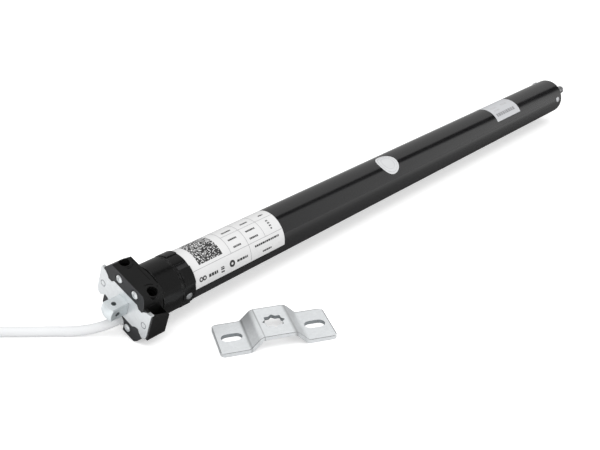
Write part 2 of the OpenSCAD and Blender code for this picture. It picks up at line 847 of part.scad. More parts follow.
module output_bearing() {
    color("#b08d57") turned([[gear_end + eps, 6 + run_gap], [gear_end + eps, bore_r - seat_gap],
        [gear_end + output_bearing_len - eps, bore_r - seat_gap], [gear_end + output_bearing_len - eps, 6 + run_gap]]);
}

module end_cap() {
    from = gear_end + output_bearing_len;
    bore = output_d / 2 + shaft_step + 0.4;
    color("#3a3a3c") difference() {
        turned([[from, bore], [from, bore_r - seat_gap], [tube_end, bore_r - seat_gap],
                [tube_end, tube_r - 0.7], [tube_end + 0.8, tube_r - 1.3], [tube_end + 0.8, output_d / 2 + 3],
                [tube_end - 1.5, output_d / 2 + 2], [tube_end - 1.5, bore]]);
        tube_screw_places() translate([0, 0, bore_r - 4.4]) cylinder(h = 9, r = 1.6);
    }
}

// Bent strip of the bracket, drawn as a side view of constant thickness
bracket_x = 65.35;
bracket_y = -67.6;
bracket_turn = -31.8;
bend_r = 3;
floor_z = -(block_bottom * cos(head_roll) + (block_w / 2 - 1) * sin(head_roll));

// Points of a bend, from one angle to the other
function bend(x, z, r, from, to) = [for (i = [0:6]) [x, z] + polar(r, from + (to - from) * i / 6)];

module bracket_side() {
    half = bracket_len / 2;
    top = bridge_len / 2;
    outer_r = bend_r + bracket_t;
    rise = bracket_h - bracket_t;
    ramp = rise - (bend_r + outer_r) * (1 - cos(45));
    foot = top + (bend_r + outer_r) * sin(45) + ramp;
    below = concat([[half, 0]], bend(foot, outer_r, outer_r, 270, 225), bend(top, rise - bend_r, bend_r, 45, 90));
    above = concat(bend(top, rise - bend_r, outer_r, 90, 45), bend(foot, outer_r, bend_r, 225, 270), [[half, bracket_t]]);
    polygon(concat(below, flipped(below), flipped(above), above));
}

function flipped(points) = [for (i = [len(points) - 1:-1:0]) [-points[i][0], points[i][1]]];

// Eight-pointed star: two squares that the stub fits in steps of 45 degrees
module star_hole() {
    s = stub_side + 0.7;
    intersection() {
        union() for (a = [0, 45]) rotate(a) square(s, center = true);
        circle(d = s * sqrt(2) - 0.5);
    }
}

module wall_bracket() {
    slot_x = bracket_len / 2 - 10.2;
    corner = 3.2;
    color("silver") translate([bracket_x, bracket_y, floor_z]) rotate(bracket_turn) difference() {
        intersection() {
            translate([0, bracket_depth / 2, 0]) rotate([90, 0, 0]) linear_extrude(bracket_depth) bracket_side();
            linear_extrude(bracket_h + 1) rounded_rect(bracket_len, bracket_depth, corner);
        }
        linear_extrude(bracket_h + 1) star_hole();
        for (s = [-1, 1]) translate([s * slot_x, 0, -1]) linear_extrude(bracket_t + 2) stadium(slot_len, slot_w);
    }
}

module rounded_rect(w, h, r) {
    square([w - 2 * r, h], center = true);
    square([w, h - 2 * r], center = true);
    for (x = [-1, 1], y = [-1, 1]) translate([x * (w / 2 - r), y * (h / 2 - r)]) circle(r = r, $fn = 32);
}

module stadium(l, w) {
    square([l - w, w], center = true);
    for (x = [-1, 1]) translate([x * (l - w) / 2, 0]) circle(d = w, $fn = 32);
}

// Cable route: points chosen by hand, from the grommet to the coil
cable_r = cable_d / 2;
rest_z = floor_z + cable_r;
cable_from = in_world([cover_t + 4.6, -cable_u, cable_v]);
route = [cable_from, in_world([1, -cable_u, cable_v]), in_world([-3, -cable_u, cable_v]), [-8, 10.5, -16.5],
         [-12, 15, -18.5], [-17, 21, -20.3], [-23, 28.5, rest_z], [-30, 36.5, rest_z], [-38, 45, rest_z],
         [-48, 56, rest_z], [-60, 69.5, rest_z], [-75, 86.5, rest_z], [-92, 106, rest_z], [-110, 126.5, rest_z]];
function in_world(p) = [p[0], p[1] * cos(head_roll) - p[2] * sin(head_roll), p[1] * sin(head_roll) + p[2] * cos(head_roll)];

// Coil: four layers of two turns, spiralling in and out, straight for a diameter at both ends
coil_turns = 2;
coil_layers = 4;
coil_outer = 43;
turn_pitch = 7.1;
layer_pitch = 7.1;
coil_rings = 24;
coil_end_turn = coil_turns * coil_layers - 0.25;
coil_dir = unit(route[len(route) - 1] - route[len(route) - 2]);
coil_begin = route[len(route) - 1] + cable_d * coil_dir;
coil_centre = coil_begin + coil_outer * [-coil_dir[1], coil_dir[0], 0];
coil_first = atan2(coil_dir[1], coil_dir[0]) - 90;

function coil_radius(t) =
    let (layer = floor(t / coil_turns), part = t - layer * coil_turns)
    coil_outer - turn_pitch * (layer % 2 == 0 ? part : coil_turns - part);
function coil_rise(t) =
    let (near = round(t / coil_turns), off = t - near * coil_turns)
    near <= 0 || near >= coil_layers ? min(max(near, 0), coil_layers - 1)
    : near - 0.5 + min(max(off / 0.5, -0.5), 0.5);
function coil_point(t) =
    let (a = coil_first + 360 * t)
    coil_centre + [coil_radius(t) * cos(a), coil_radius(t) * sin(a), layer_pitch * coil_rise(t)];

coil_steps = floor(coil_end_turn * coil_rings);
coil_turning = [for (i = [0:coil_steps]) coil_point(i / coil_rings)];
coil_last = coil_turning[coil_steps];
coil_out_dir = unit(coil_last - coil_turning[coil_steps - 1]);
coil_path = concat([route[len(route) - 1]], coil_turning, [coil_last + cable_d * coil_out_dir]);

// Least distance between neighbouring turns, less the cable's diameter
coil_gap = min([for (i = [0:3:coil_steps], j = [i + 12:coil_steps]) norm(coil_turning[i] - coil_turning[j])]) - cable_d;
echo(coil_gap = coil_gap);

// Tube swept along points, its rings square to the path
function tangents(p) = [for (i = [0:len(p) - 1])
    i == 0 ? unit(p[1] - p[0]) : i == len(p) - 1 ? unit(p[i] - p[i - 1]) : unit(unit(p[i + 1] - p[i]) + unit(p[i] - p[i - 1]))];

module sweep(path, r, sides, up) {
    t = tangents(path);
    n = len(path);
    rings = [for (i = [0:n - 1]) let (s = unit(cross(t[i], up)), u = cross(s, t[i]))
        for (k = [0:sides - 1]) path[i] + r * (cos(360 / sides * k) * s + sin(360 / sides * k) * u)];
    points = concat(rings, [path[0], path[n - 1]]);
    walls = [for (i = [0:n - 2], k = [0:sides - 1]) let (a = i * sides + k, b = i * sides + (k + 1) % sides)
        each [[a, b, a + sides], [b, b + sides, a + sides]]];
    first = [for (k = [0:sides - 1]) [n * sides, (k + 1) % sides, k]];
    last = [for (k = [0:sides - 1]) let (a = (n - 1) * sides) [n * sides + 1, a + k, a + (k + 1) % sides]];
    polyhedron(points, concat(walls, first, last));
}

module supply_cable() {
    color("white") sweep(route, cable_r, 10, [0, 0, 1]);
}

module cable_coil() {
    color("white") sweep(coil_path, cable_r, 6, [0, 0, 1]);
}

module cable_cores() {
    end = coil_path[len(coil_path) - 1];
    dir = unit(end - coil_path[len(coil_path) - 2]);
    heading = atan2(dir[1], dir[0]);
    for (i = [0:3]) let (a = 45 + 90 * i)
        color(["saddlebrown", "black", "royalblue", "green"][i]) translate(end) rotate([0, 0, heading])
            translate([0, 1.6 * cos(a), 1.6 * sin(a)]) rotate([0, 0, 7 * cos(a)]) union() {
                rod_x(0.05, 18, 1);
                rod_x(18 - eps, 26, 0.6);
            }
}

module cable_tie() {
    at = coil_first + 180;
    mid = coil_outer - turn_pitch;
    w = turn_pitch + cable_d + 2.6;
    h = layer_pitch * 3 + cable_d + 1.2;
    color("black") translate([coil_centre[0], coil_centre[1], 0]) rotate(at) translate([mid, 0, floor_z])
        rotate([90, 0, 0]) linear_extrude(4, center = true) difference() {
            translate([-w / 2, 0]) square([w, h]);
            translate([-w / 2 + 1, 0.6]) square([w - 2, h - 1.2]);
        }
}

mounting_plate();
square_stub();
head_cover();
head_housing();
cover_screws();
limit_adjuster(-1, "black");  // limit_adjuster_up
limit_adjuster(1, "black");  // limit_adjuster_down
cable_grommet();
crown_ring();
switch_carrier();
switch_pins();
crown_pinion();
counter_disc(0, 0, "tomato");  // counter_disc_up_a
counter_disc(0, 1, "khaki");  // counter_disc_up_b
counter_disc(1, 0, "tomato");  // counter_disc_down_a
counter_disc(1, 1, "khaki");  // counter_disc_down_b
limit_switch(0);  // limit_switch_up
limit_switch(1);  // limit_switch_down
switch_plunger(0);  // switch_plunger_up
switch_plunger(1);  // switch_plunger_down
terminal_board();
motor_tube();
tube_collar();
tube_rivets();
run_capacitor();
capacitor_rings();
inner_leads();
brake_housing();
brake_spring();
brake_armature();
brake_disc();
rear_bell();
front_bell();
rear_bearing();
front_bearing();
stator_core();
stator_winding();
rotor_core();
rotor_shaft();
ring_gear();
planet(0, 0);  // planet_1a
planet(0, 1);  // planet_1b
planet(0, 2);  // planet_1c
carrier(0);  // carrier_1
planet(1, 0);  // planet_2a
planet(1, 1);  // planet_2b
planet(1, 2);  // planet_2c
carrier(1);  // carrier_2
planet(2, 0);  // planet_3a
planet(2, 1);  // planet_3b
planet(2, 2);  // planet_3c
output_shaft();
output_bearing();
end_cap();
tube_screws();
wall_bracket();
supply_cable();
cable_coil();
cable_cores();
cable_tie();
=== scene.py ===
import math
import random

import bmesh
import bpy
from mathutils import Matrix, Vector


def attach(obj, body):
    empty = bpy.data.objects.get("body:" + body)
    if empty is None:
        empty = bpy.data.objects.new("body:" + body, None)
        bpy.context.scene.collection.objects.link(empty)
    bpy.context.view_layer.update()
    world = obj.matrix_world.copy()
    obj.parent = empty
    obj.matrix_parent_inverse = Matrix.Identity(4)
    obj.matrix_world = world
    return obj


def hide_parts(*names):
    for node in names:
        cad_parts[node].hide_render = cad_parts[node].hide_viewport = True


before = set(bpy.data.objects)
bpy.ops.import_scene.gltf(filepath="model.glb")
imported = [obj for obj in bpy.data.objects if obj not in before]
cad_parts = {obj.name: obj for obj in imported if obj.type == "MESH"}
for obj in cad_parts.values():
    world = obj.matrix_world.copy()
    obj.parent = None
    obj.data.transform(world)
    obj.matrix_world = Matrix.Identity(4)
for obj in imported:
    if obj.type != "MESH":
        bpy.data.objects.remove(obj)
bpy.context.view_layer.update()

# Sizes in metres, the same as in the part's source. The head is turned about the tube's axis, and the lowest
# corner of its plate stands on the table.
MM = 0.001
HEAD_ROLL = math.radians(22)
PLATE_CORNER_Y = 0.016
PLATE_CORNER_Z = 0.0203
FLOOR_Z = -(PLATE_CORNER_Z * math.cos(HEAD_ROLL) + PLATE_CORNER_Y * math.sin(HEAD_ROLL))
TUBE_R = 0.0175
STUB_HOLE_X = -0.00798
STUB_HOLE_R = 0.0016
BRACKET_PLACE = (0.06535, -0.0676, FLOOR_Z)
BRACKET_TURN = math.radians(-31.8)
BRACKET_HALF = (0.03775, 0.017)

# Cable: stations at which it leaves the head, the points where it falls, and those where it lies on the table
CABLE_D = 0.0065
EXIT_X = (0.0083, 0.001, -0.003)
EXIT_Y = 0.0005
EXIT_Z = -0.0153
FALLING = ((-0.008, 0.0105, -0.0165), (-0.012, 0.015, -0.0185), (-0.017, 0.021, -0.0203))
LYING = ((-0.023, 0.0285), (-0.030, 0.0365), (-0.038, 0.045), (-0.048, 0.056), (-0.060, 0.0695),
         (-0.075, 0.0865), (-0.092, 0.106), (-0.110, 0.1265))

# Coil that holds the cable's unseen rest
TURNS_PER_LAYER = 2
LAYERS = 4
COIL_R = 0.043
TURN_GAP = 0.0071
CLIMB_TURNS = 0.5
OPEN_TURN = 0.25
POINTS_PER_TURN = 24
STEPS_BETWEEN_POINTS = 4
CABLE_SIDES = 6

# Camera, fitted to the photograph with the tube at its real size
CAMERA_PLACE = (-0.2590, -0.3784, 0.2760)
CAMERA_TARGET = (0.1668, 0.0, -0.0067)
LENS = 49.98
SENSOR_WIDTH = 36
CLIP_START = 0.01


def place_object(name, data):
    obj = bpy.data.objects.new(name, data)
    bpy.context.scene.collection.objects.link(obj)
    return obj


def aim(obj, target):
    """Points a camera or a lamp at a target."""
    obj.rotation_euler = (Vector(target) - obj.location).to_track_quat("-Z", "Y").to_euler()


def mesh_from(name, bm):
    """Turns a finished bmesh into an object."""
    mesh = bpy.data.meshes.new(name)
    bm.to_mesh(mesh)
    bm.free()
    return place_object(name, mesh)


def add_camera():
    data = bpy.data.cameras.new("camera")
    data.sensor_width = SENSOR_WIDTH
    data.lens = LENS
    data.clip_start = CLIP_START
    camera = place_object("camera", data)
    camera.location = CAMERA_PLACE
    aim(camera, CAMERA_TARGET)
    bpy.context.scene.camera = camera


add_camera()


def in_head(x, y, z):
    """A point of the head's own turned frame, in the row frame."""
    c, s = math.cos(HEAD_ROLL), math.sin(HEAD_ROLL)
    return Vector((x, y * c - z * s, y * s + z * c))


def free_stretch():
    """Points of the cable from the head to the start of its coil."""
    rest = FLOOR_Z + CABLE_D / 2
    leaving = [in_head(x, EXIT_Y, EXIT_Z) for x in EXIT_X]
    return leaving + [Vector(point) for point in FALLING] + [Vector((x, y, rest)) for x, y in LYING]


def coil_level(t):
    """Layer of the coil after t turns. The cable climbs to the next layer within half a turn."""
    near = math.floor(t / TURNS_PER_LAYER + 0.5)
    if near <= 0 or near >= LAYERS:
        return min(max(near, 0), LAYERS - 1)
    past = t - near * TURNS_PER_LAYER
    return near - 0.5 + min(max(past / CLIMB_TURNS, -0.5), 0.5)


def coil_point(t, centre, first_angle):
    """Point of the coil after t turns, which run inward on even layers and outward on odd ones."""
    layer = math.floor(t / TURNS_PER_LAYER)
    part = t - layer * TURNS_PER_LAYER
    radius = COIL_R - TURN_GAP * (part if layer % 2 == 0 else TURNS_PER_LAYER - part)
    a = first_angle + 2 * math.pi * t
    return centre + Vector((radius * math.cos(a), radius * math.sin(a), TURN_GAP * coil_level(t)))


def cable_route():
    """The free stretch and then the coil, point for point as the part's source gives them."""
    free = free_stretch()
    direction = (free[-1] - free[-2]).normalized()
    begin = free[-1] + CABLE_D * direction
    centre = begin + COIL_R * Vector((-direction.y, direction.x, 0))
    first_angle = math.atan2(direction.y, direction.x) - math.pi / 2
    steps = math.floor((TURNS_PER_LAYER * LAYERS - OPEN_TURN) * POINTS_PER_TURN)
    coil = [coil_point(i / POINTS_PER_TURN, centre, first_angle) for i in range(steps + 1)]
    end = coil[-1] + CABLE_D * (coil[-1] - coil[-2]).normalized()
    return free + coil + [end]


def add_round_curve(name, points, radius):
    """A smooth round curve. Its points hold the radius, since a curve's bounds count that of its points."""
    data = bpy.data.curves.new(name, "CURVE")
    data.dimensions = "3D"
    data.bevel_depth = 1.0
    data.bevel_resolution = CABLE_SIDES
    data.use_fill_caps = True
    data.resolution_u = STEPS_BETWEEN_POINTS
    spline = data.splines.new("BEZIER")
    spline.bezier_points.add(len(points) - 1)
    for p, co in zip(spline.bezier_points, points):
        p.co = co
        p.radius = radius
        p.handle_left_type = p.handle_right_type = "AUTO"
    return place_object(name, data)


def add_cable():
    route = cable_route()
    piece = add_round_curve("white_supply_cable", route, CABLE_D / 2)
    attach(piece, "motor")
    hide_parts("supply_cable", "cable_coil")
    return piece


cable = add_cable()


# Nodes that the shared effects and the finishes are made of
def feed(tree, value, socket):
    """Sets a socket to a plain number, or links another node's output to it."""
    if isinstance(value, (int, float)):
        socket.default_value = value
    else:
        tree.links.new(value, socket)


def math_node(tree, operation, *values, clamp=False):
    node = tree.nodes.new("ShaderNodeMath")
    node.operation = operation
    node.use_clamp = clamp
    for value, socket in zip(values, node.inputs):
        feed(tree, value, socket)
    return node.outputs[0]


def product(tree, a, b, clamp=False):
    return math_node(tree, "MULTIPLY", a, b, clamp=clamp)


def map_range(tree, value, span, levels=(0.0, 1.0)):
    """Runs from the first level to the second while the value crosses the span, and no further."""
    node = tree.nodes.new("ShaderNodeMapRange")
    tree.links.new(value, node.inputs["Value"])
    for label, bound in zip(("From Min", "From Max", "To Min", "To Max"), (*span, *levels)):
        feed(tree, bound, node.inputs[label])
    return node.outputs["Result"]


def either(tree, flag, no, yes):
    """One of two levels, by a flag that is 0 or 1."""
    return map_range(tree, flag, (0.0, 1.0), (no, yes))


def noise(tree, vector, scale, detail=4.0, rough=0.6):
    node = tree.nodes.new("ShaderNodeTexNoise")
    tree.links.new(vector, node.inputs["Vector"])
    node.inputs["Detail"].default_value = detail
    node.inputs["Roughness"].default_value = rough
    feed(tree, scale, node.inputs["Scale"])
    return node.outputs["Fac"]


def object_position(tree):
    return tree.nodes.new("ShaderNodeTexCoord").outputs["Object"]


def waves(tree, scale, distortion=0.0):
    """Bands that follow one another along the tube's axis."""
    node = tree.nodes.new("ShaderNodeTexWave")
    node.bands_direction = "X"
    node.inputs["Scale"].default_value = scale
    node.inputs["Distortion"].default_value = distortion
    tree.links.new(object_position(tree), node.inputs["Vector"])
    return node.outputs["Fac"]


def stretched(tree, where, stretch, turn=(0.0, 0.0, 0.0)):
    """A position whose axes are stretched, so that a noise on it runs in lines."""
    mapping = tree.nodes.new("ShaderNodeMapping")
    mapping.inputs["Rotation"].default_value = turn
    mapping.inputs["Scale"].default_value = stretch
    tree.links.new(where, mapping.inputs["Vector"])
    return mapping.outputs["Vector"]


def split_axes(tree, vector):
    node = tree.nodes.new("ShaderNodeSeparateXYZ")
    tree.links.new(vector, node.inputs["Vector"])
    return node.outputs


def dot_product(tree, a):
    """A dot product with its first vector linked; the caller gives the second one to the node."""
    node = tree.nodes.new("ShaderNodeVectorMath")
    node.operation = "DOT_PRODUCT"
    tree.links.new(a, node.inputs[0])
    return node


# Shared effects. Spans are values of a noise, unless a comment says otherwise.
EDGE_SPAN = (0.995, 0.93)        # likeness of the rounded normal to the true one
EDGE_SAMPLES = 4
CHIP_SCALE = 260.0
CHIP_SPAN = (0.35, 0.65)
SCRATCHES = ((0.4, (1.0, 18.0, 18.0)), (1.9, (14.0, 1.0, 14.0)))
SCRATCH_TILT = 0.7
SCRATCH_SPAN = (0.66, 0.70)
PATCH_SCALE = 22.0
PATCH_SPAN = (0.45, 0.6)
CLOUD_SCALE = 90.0
PLATING_SCALE = 1500.0

# Painted shade and highlights along the bracket: station in metres from its middle, and share of the
# plating's own tone
PAINTED_BEND_SHADE = ((-0.0195, 1.0), (-0.0182, 0.70), (-0.0173, 1.0), (-0.0135, 0.92), (-0.0118, 1.1),
              (-0.0106, 1.15), (-0.0099, 0.60), (-0.0092, 1.0), (0.0088, 1.0), (0.0098, 0.80),
              (0.0108, 0.52), (0.0122, 0.76), (0.0164, 0.80), (0.0180, 0.92), (0.0195, 1.05))

# Painted shade on the left ramp, darker from front to back: stations of its two ends and of its depth, in
# metres
RAMP_BEGINS = (-0.019, -0.018)
RAMP_ENDS = (-0.0095, -0.0105)
RAMP_DEPTH = (-0.008, 0.014)
RAMP_SHADE = (0.0, 0.36)

# A painted shade line inside each sheared edge: distances from the edge, in metres, and the upward faces that
# show it
RIM_INSIDE = (0.0007, 0.0005)
RIM_OUTSIDE = (0.00006, 0.0001)
UPWARD_SPAN = (0.2, 0.4)


def new_group(name, inputs, outputs):
    """An empty group of number sockets: its inputs with their first values, and its outputs."""
    group = bpy.data.node_groups.new(name, "ShaderNodeTree")
    for label, value in inputs.items():
        socket = group.interface.new_socket(name=label, in_out="INPUT", socket_type="NodeSocketFloat")
        socket.default_value = value
    for label in outputs:
        group.interface.new_socket(name=label, in_out="OUTPUT", socket_type="NodeSocketFloat")
    return group, group.nodes.new("NodeGroupInput"), group.nodes.new("NodeGroupOutput")


def build_fine_grain():
    """Cast, moulded or sprayed surface: a fine noise for its height, and a slow one for its colour."""
    group, inside, out = new_group("Fine grain", {"Grain scale": 900.0, "Mottle scale": 40.0},
                                   ("Height", "Mottle"))
    where = object_position(group)
    fine = noise(group, where, inside.outputs["Grain scale"], detail=3.0)
    slow = noise(group, where, inside.outputs["Mottle scale"], detail=5.0)
    group.links.new(fine, out.inputs["Height"])
    group.links.new(slow, out.inputs["Mottle"])
    return group


def build_edge_wear_and_painted_light():
    """A mask along the edges, broken up by noise: a rubbed line in most finishes, a painted highlight on the
    crown's plastic, and a painted shade line on the bracket and the stub.
    """
    group, inside, out = new_group("Edge wear and painted edge light", {"Width": 0.0004, "Amount": 0.5}, ("Mask",))
    rounded = group.nodes.new("ShaderNodeBevel")
    rounded.samples = EDGE_SAMPLES
    group.links.new(inside.outputs["Width"], rounded.inputs["Radius"])
    surface = group.nodes.new("ShaderNodeNewGeometry")
    likeness = dot_product(group, rounded.outputs["Normal"])
    group.links.new(surface.outputs["Normal"], likeness.inputs[1])
    edge = map_range(group, likeness.outputs["Value"], EDGE_SPAN)
    chips = map_range(group, noise(group, object_position(group), CHIP_SCALE), CHIP_SPAN)
    mask = product(group, edge, chips)
    group.links.new(product(group, mask, inside.outputs["Amount"], clamp=True), out.inputs["Mask"])
    return group


def build_scuffs():
    """Thin handling scratches in two directions, gathered in patches."""
    group, inside, out = new_group("Handling scuffs", {"Scale": 60.0, "Amount": 0.5}, ("Mask",))
    where = object_position(group)
    masks = []
    for turn, stretch in SCRATCHES:
        lines = stretched(group, where, stretch, (turn, turn * SCRATCH_TILT, turn))
        fine = noise(group, lines, inside.outputs["Scale"], detail=2.0, rough=0.4)
        masks.append(map_range(group, fine, SCRATCH_SPAN))
    both = math_node(group, "MAXIMUM", *masks)
    patches = map_range(group, noise(group, where, PATCH_SCALE, detail=3.0, rough=0.5), PATCH_SPAN)
    mask = product(group, both, patches)
    group.links.new(product(group, mask, inside.outputs["Amount"], clamp=True), out.inputs["Mask"])
    return group


def build_spangle():
    """Zinc plate: soft cells of slightly different brightness, and a fine height."""
    group, inside, out = new_group("Zinc spangle", {"Scale": 300.0}, ("Cells", "Height"))
    where = object_position(group)
    cells = group.nodes.new("ShaderNodeTexVoronoi")
    group.links.new(where, cells.inputs["Vector"])
    group.links.new(inside.outputs["Scale"], cells.inputs["Scale"])
    tone = group.nodes.new("ShaderNodeSeparateColor")
    group.links.new(cells.outputs["Color"], tone.inputs["Color"])
    cloud = noise(group, where, CLOUD_SCALE)
    group.links.new(product(group, tone.outputs["Red"], cloud), out.inputs["Cells"])
    group.links.new(noise(group, where, PLATING_SCALE, detail=2.0, rough=0.5), out.inputs["Height"])
    return group


def bracket_axes(group):
    """The position in the bracket's own frame: X along the strip, Y across it, Z up."""
    mapping = group.nodes.new("ShaderNodeMapping")
    mapping.vector_type = "TEXTURE"
    mapping.inputs["Location"].default_value = BRACKET_PLACE
    mapping.inputs["Rotation"].default_value = (0, 0, BRACKET_TURN)
    group.links.new(object_position(group), mapping.inputs["Vector"])
    return split_axes(group, mapping.outputs["Vector"])


def bracket_rims(group, axes):
    """Masks of a thin painted shade line just inside each of the strip's four edges."""
    rims = []
    for axis, half in zip("XY", BRACKET_HALF):
        side = math_node(group, "ABSOLUTE", axes[axis])
        rims.append(product(group, map_range(group, side, [half - gap for gap in RIM_INSIDE]),
                            map_range(group, side, [half - gap for gap in RIM_OUTSIDE])))
    return rims


def build_painted_bend_shade():
    """Painted shade and highlights along the strip where it is bent, painted shade toward the back of its
    left ramp, and a painted shade line inside its rims.
    """
    group, _, out = new_group("Painted bend shade", {}, ("Share", "Rim"))
    axes = bracket_axes(group)
    share = PAINTED_BEND_SHADE[0][1]
    for (x0, tone0), (x1, tone1) in zip(PAINTED_BEND_SHADE, PAINTED_BEND_SHADE[1:]):
        share = math_node(group, "ADD", map_range(group, axes["X"], (x0, x1), (0.0, tone1 - tone0)), share)
    ramp = product(group, map_range(group, axes["X"], RAMP_BEGINS), map_range(group, axes["X"], RAMP_ENDS))
    deep = map_range(group, axes["Y"], RAMP_DEPTH, RAMP_SHADE)
    shaded = math_node(group, "SUBTRACT", share, product(group, ramp, deep))
    group.links.new(shaded, out.inputs["Share"])

    rims = bracket_rims(group, axes)
    facing = split_axes(group, group.nodes.new("ShaderNodeNewGeometry").outputs["Normal"])
    upward = map_range(group, facing["Z"], UPWARD_SPAN)
    rim = product(group, math_node(group, "MAXIMUM", *rims), upward)
    group.links.new(rim, out.inputs["Rim"])
    return group


FINE_GRAIN = build_fine_grain()
EDGE_WEAR_AND_PAINTED_LIGHT = build_edge_wear_and_painted_light()
SCUFFS = build_scuffs()
SPANGLE = build_spangle()
BEND_SHADE_PAINT = build_painted_bend_shade()

# Colour sockets of a Mix node, which have no names of their own
MIX_FIRST = 6
MIX_SECOND = 7
MIX_RESULT = 2

# The part of a noise's or of the cells' values over which a roughness varies
NOISE_SPAN = (0.3, 0.7)
CELL_SPAN = (0.0, 0.8)

# Widths of the edge lines, in metres: rubbed lines, painted highlights and painted shade lines
FINE_EDGE = 0.0002
MOULDED_EDGE = 0.0003
PLATED_EDGE = 0.0004


class Finish:
    """A material being built. Its tones are shares of one colour."""

    def __init__(self, name, colour, metallic, roughness, **sockets):
        self.material = bpy.data.materials.new(name)
        self.material.use_nodes = True
        self.tree = self.material.node_tree
        self.tree.nodes.clear()
        self.out = self.tree.nodes.new("ShaderNodeOutputMaterial")
        self.shader = self.tree.nodes.new("ShaderNodeBsdfPrincipled")
        self.tree.links.new(self.shader.outputs["BSDF"], self.out.inputs["Surface"])
        self.colour = colour
        self.roughness = roughness
        self.shader.inputs["Base Color"].default_value = (*colour, 1)
        self.shader.inputs["Metallic"].default_value = metallic
        self.shader.inputs["Roughness"].default_value = roughness
        for label, value in sockets.items():
            self.shader.inputs[label.replace("_", " ")].default_value = value

    def effect(self, group, **values):
        """Places a shared effect with its values, and gives its outputs."""
        node = self.tree.nodes.new("ShaderNodeGroup")
        node.node_tree = group
        for label, value in values.items():
            node.inputs[label.replace("_", " ")].default_value = value
        return node.outputs

    def tone(self, share):
        return (*[min(1.0, channel * share) for channel in self.colour], 1)

    def mix(self, mask, first, second):
        """Mixes by a mask. Each side is a share of the finish's colour, or a colour output."""
        node = self.tree.nodes.new("ShaderNodeMix")
        node.data_type = "RGBA"
        self.tree.links.new(mask, node.inputs[0])
        for index, value in ((MIX_FIRST, first), (MIX_SECOND, second)):
            if isinstance(value, (int, float)):
                node.inputs[index].default_value = self.tone(value)
            else:
                self.tree.links.new(value, node.inputs[index])
        return node.outputs[MIX_RESULT]

    def set_colour(self, colour):
        self.tree.links.new(colour, self.shader.inputs["Base Color"])

    def vary_roughness(self, value, less, more, span=NOISE_SPAN):
        levels = (self.roughness - less, self.roughness + more)
        self.tree.links.new(map_range(self.tree, value, span, levels), self.shader.inputs["Roughness"])

    def bump(self, height, strength, distance):
        node = self.tree.nodes.new("ShaderNodeBump")
        node.inputs["Strength"].default_value = strength
        node.inputs["Distance"].default_value = distance
        self.tree.links.new(height, node.inputs["Height"])
        self.tree.links.new(node.outputs["Normal"], self.shader.inputs["Normal"])


def moulded_plastic(name, colour, roughness, grain, depth=0.00003, wear=0.35, worn=2.6, gloss=0.5,
                    mottle=70.0, contrast=0.2):
    """Moulded plastic: a textured skin, a mottled colour and paler edges."""
    f = Finish(name, colour, metallic=0.0, roughness=roughness, Specular_IOR_Level=gloss)
    skin = f.effect(FINE_GRAIN, Grain_scale=grain, Mottle_scale=mottle)
    edges = f.effect(EDGE_WEAR_AND_PAINTED_LIGHT, Width=MOULDED_EDGE, Amount=wear)
    base = f.mix(skin["Mottle"], 1 - contrast, 1 + contrast)
    f.set_colour(f.mix(edges["Mask"], base, worn))
    f.vary_roughness(skin["Mottle"], less=0.07, more=0.07)
    f.bump(skin["Height"], strength=0.35, distance=depth)
    return f.material


def turned_plastic(name, colour, roughness, gloss):
    """Smooth plastic with the faint rings of its mould, which run round the tube's axis, and a painted
    highlight along its edges.
    """
    ring_stretch = (1.0, 0.004, 0.004)
    ring_scale = 1100.0
    pale_rings = (0.60, 0.72)
    f = Finish(name, colour, metallic=0.0, roughness=roughness, Specular_IOR_Level=gloss)
    where = stretched(f.tree, object_position(f.tree), ring_stretch)
    rings = noise(f.tree, where, ring_scale, detail=3.0)
    edges = f.effect(EDGE_WEAR_AND_PAINTED_LIGHT, Width=MOULDED_EDGE, Amount=0.8)
    base = f.mix(map_range(f.tree, rings, pale_rings), 0.9, 3.2)
    # A pale line along the edges at 26 times the plastic's colour: a painted highlight
    f.set_colour(f.mix(edges["Mask"], base, 26.0))
    f.vary_roughness(rings, less=0.05, more=0.05)
    f.bump(rings, strength=0.12, distance=0.00002)
    return f.material


def powder_coat(name, colour):
    """Glossy sprayed coat with a slow waviness and a few scuffs."""
    f = Finish(name, colour, metallic=0.0, roughness=0.14, Specular_IOR_Level=1.0)
    skin = f.effect(FINE_GRAIN, Grain_scale=1100.0, Mottle_scale=18.0)
    scuffs = f.effect(SCUFFS, Scale=45.0, Amount=0.15)
    base = f.mix(skin["Mottle"], 0.82, 1.2)
    f.set_colour(f.mix(scuffs["Mask"], base, 2.0))
    f.vary_roughness(skin["Mottle"], less=0.02, more=0.03)
    f.bump(skin["Height"], strength=0.06, distance=0.00001)
    return f.material


def zinc_plate(name, colour, roughness, metallic, vary=0.08, rim=1.15):
    """Plated steel: small cells, scuffs, and a line along the edges whose share rim sets: above 1 a brighter
    rubbed edge, below 1 a painted shade line.
    """
    f = Finish(name, colour, metallic, roughness)
    plating = f.effect(SPANGLE, Scale=520.0)
    scuffs = f.effect(SCUFFS, Scale=80.0, Amount=0.2)
    edges = f.effect(EDGE_WEAR_AND_PAINTED_LIGHT, Width=PLATED_EDGE, Amount=0.7)
    base = f.mix(plating["Cells"], 0.95, 1.06)
    base = f.mix(scuffs["Mask"], base, 0.85)
    # Edge line: rubbed and brighter for a rim above 1, painted shade for a rim below 1
    f.set_colour(f.mix(edges["Mask"], base, rim))
    f.vary_roughness(plating["Cells"], less=vary * 0.4, more=vary * 0.6, span=CELL_SPAN)
    f.bump(plating["Height"], strength=0.1, distance=0.00001)
    return f.material


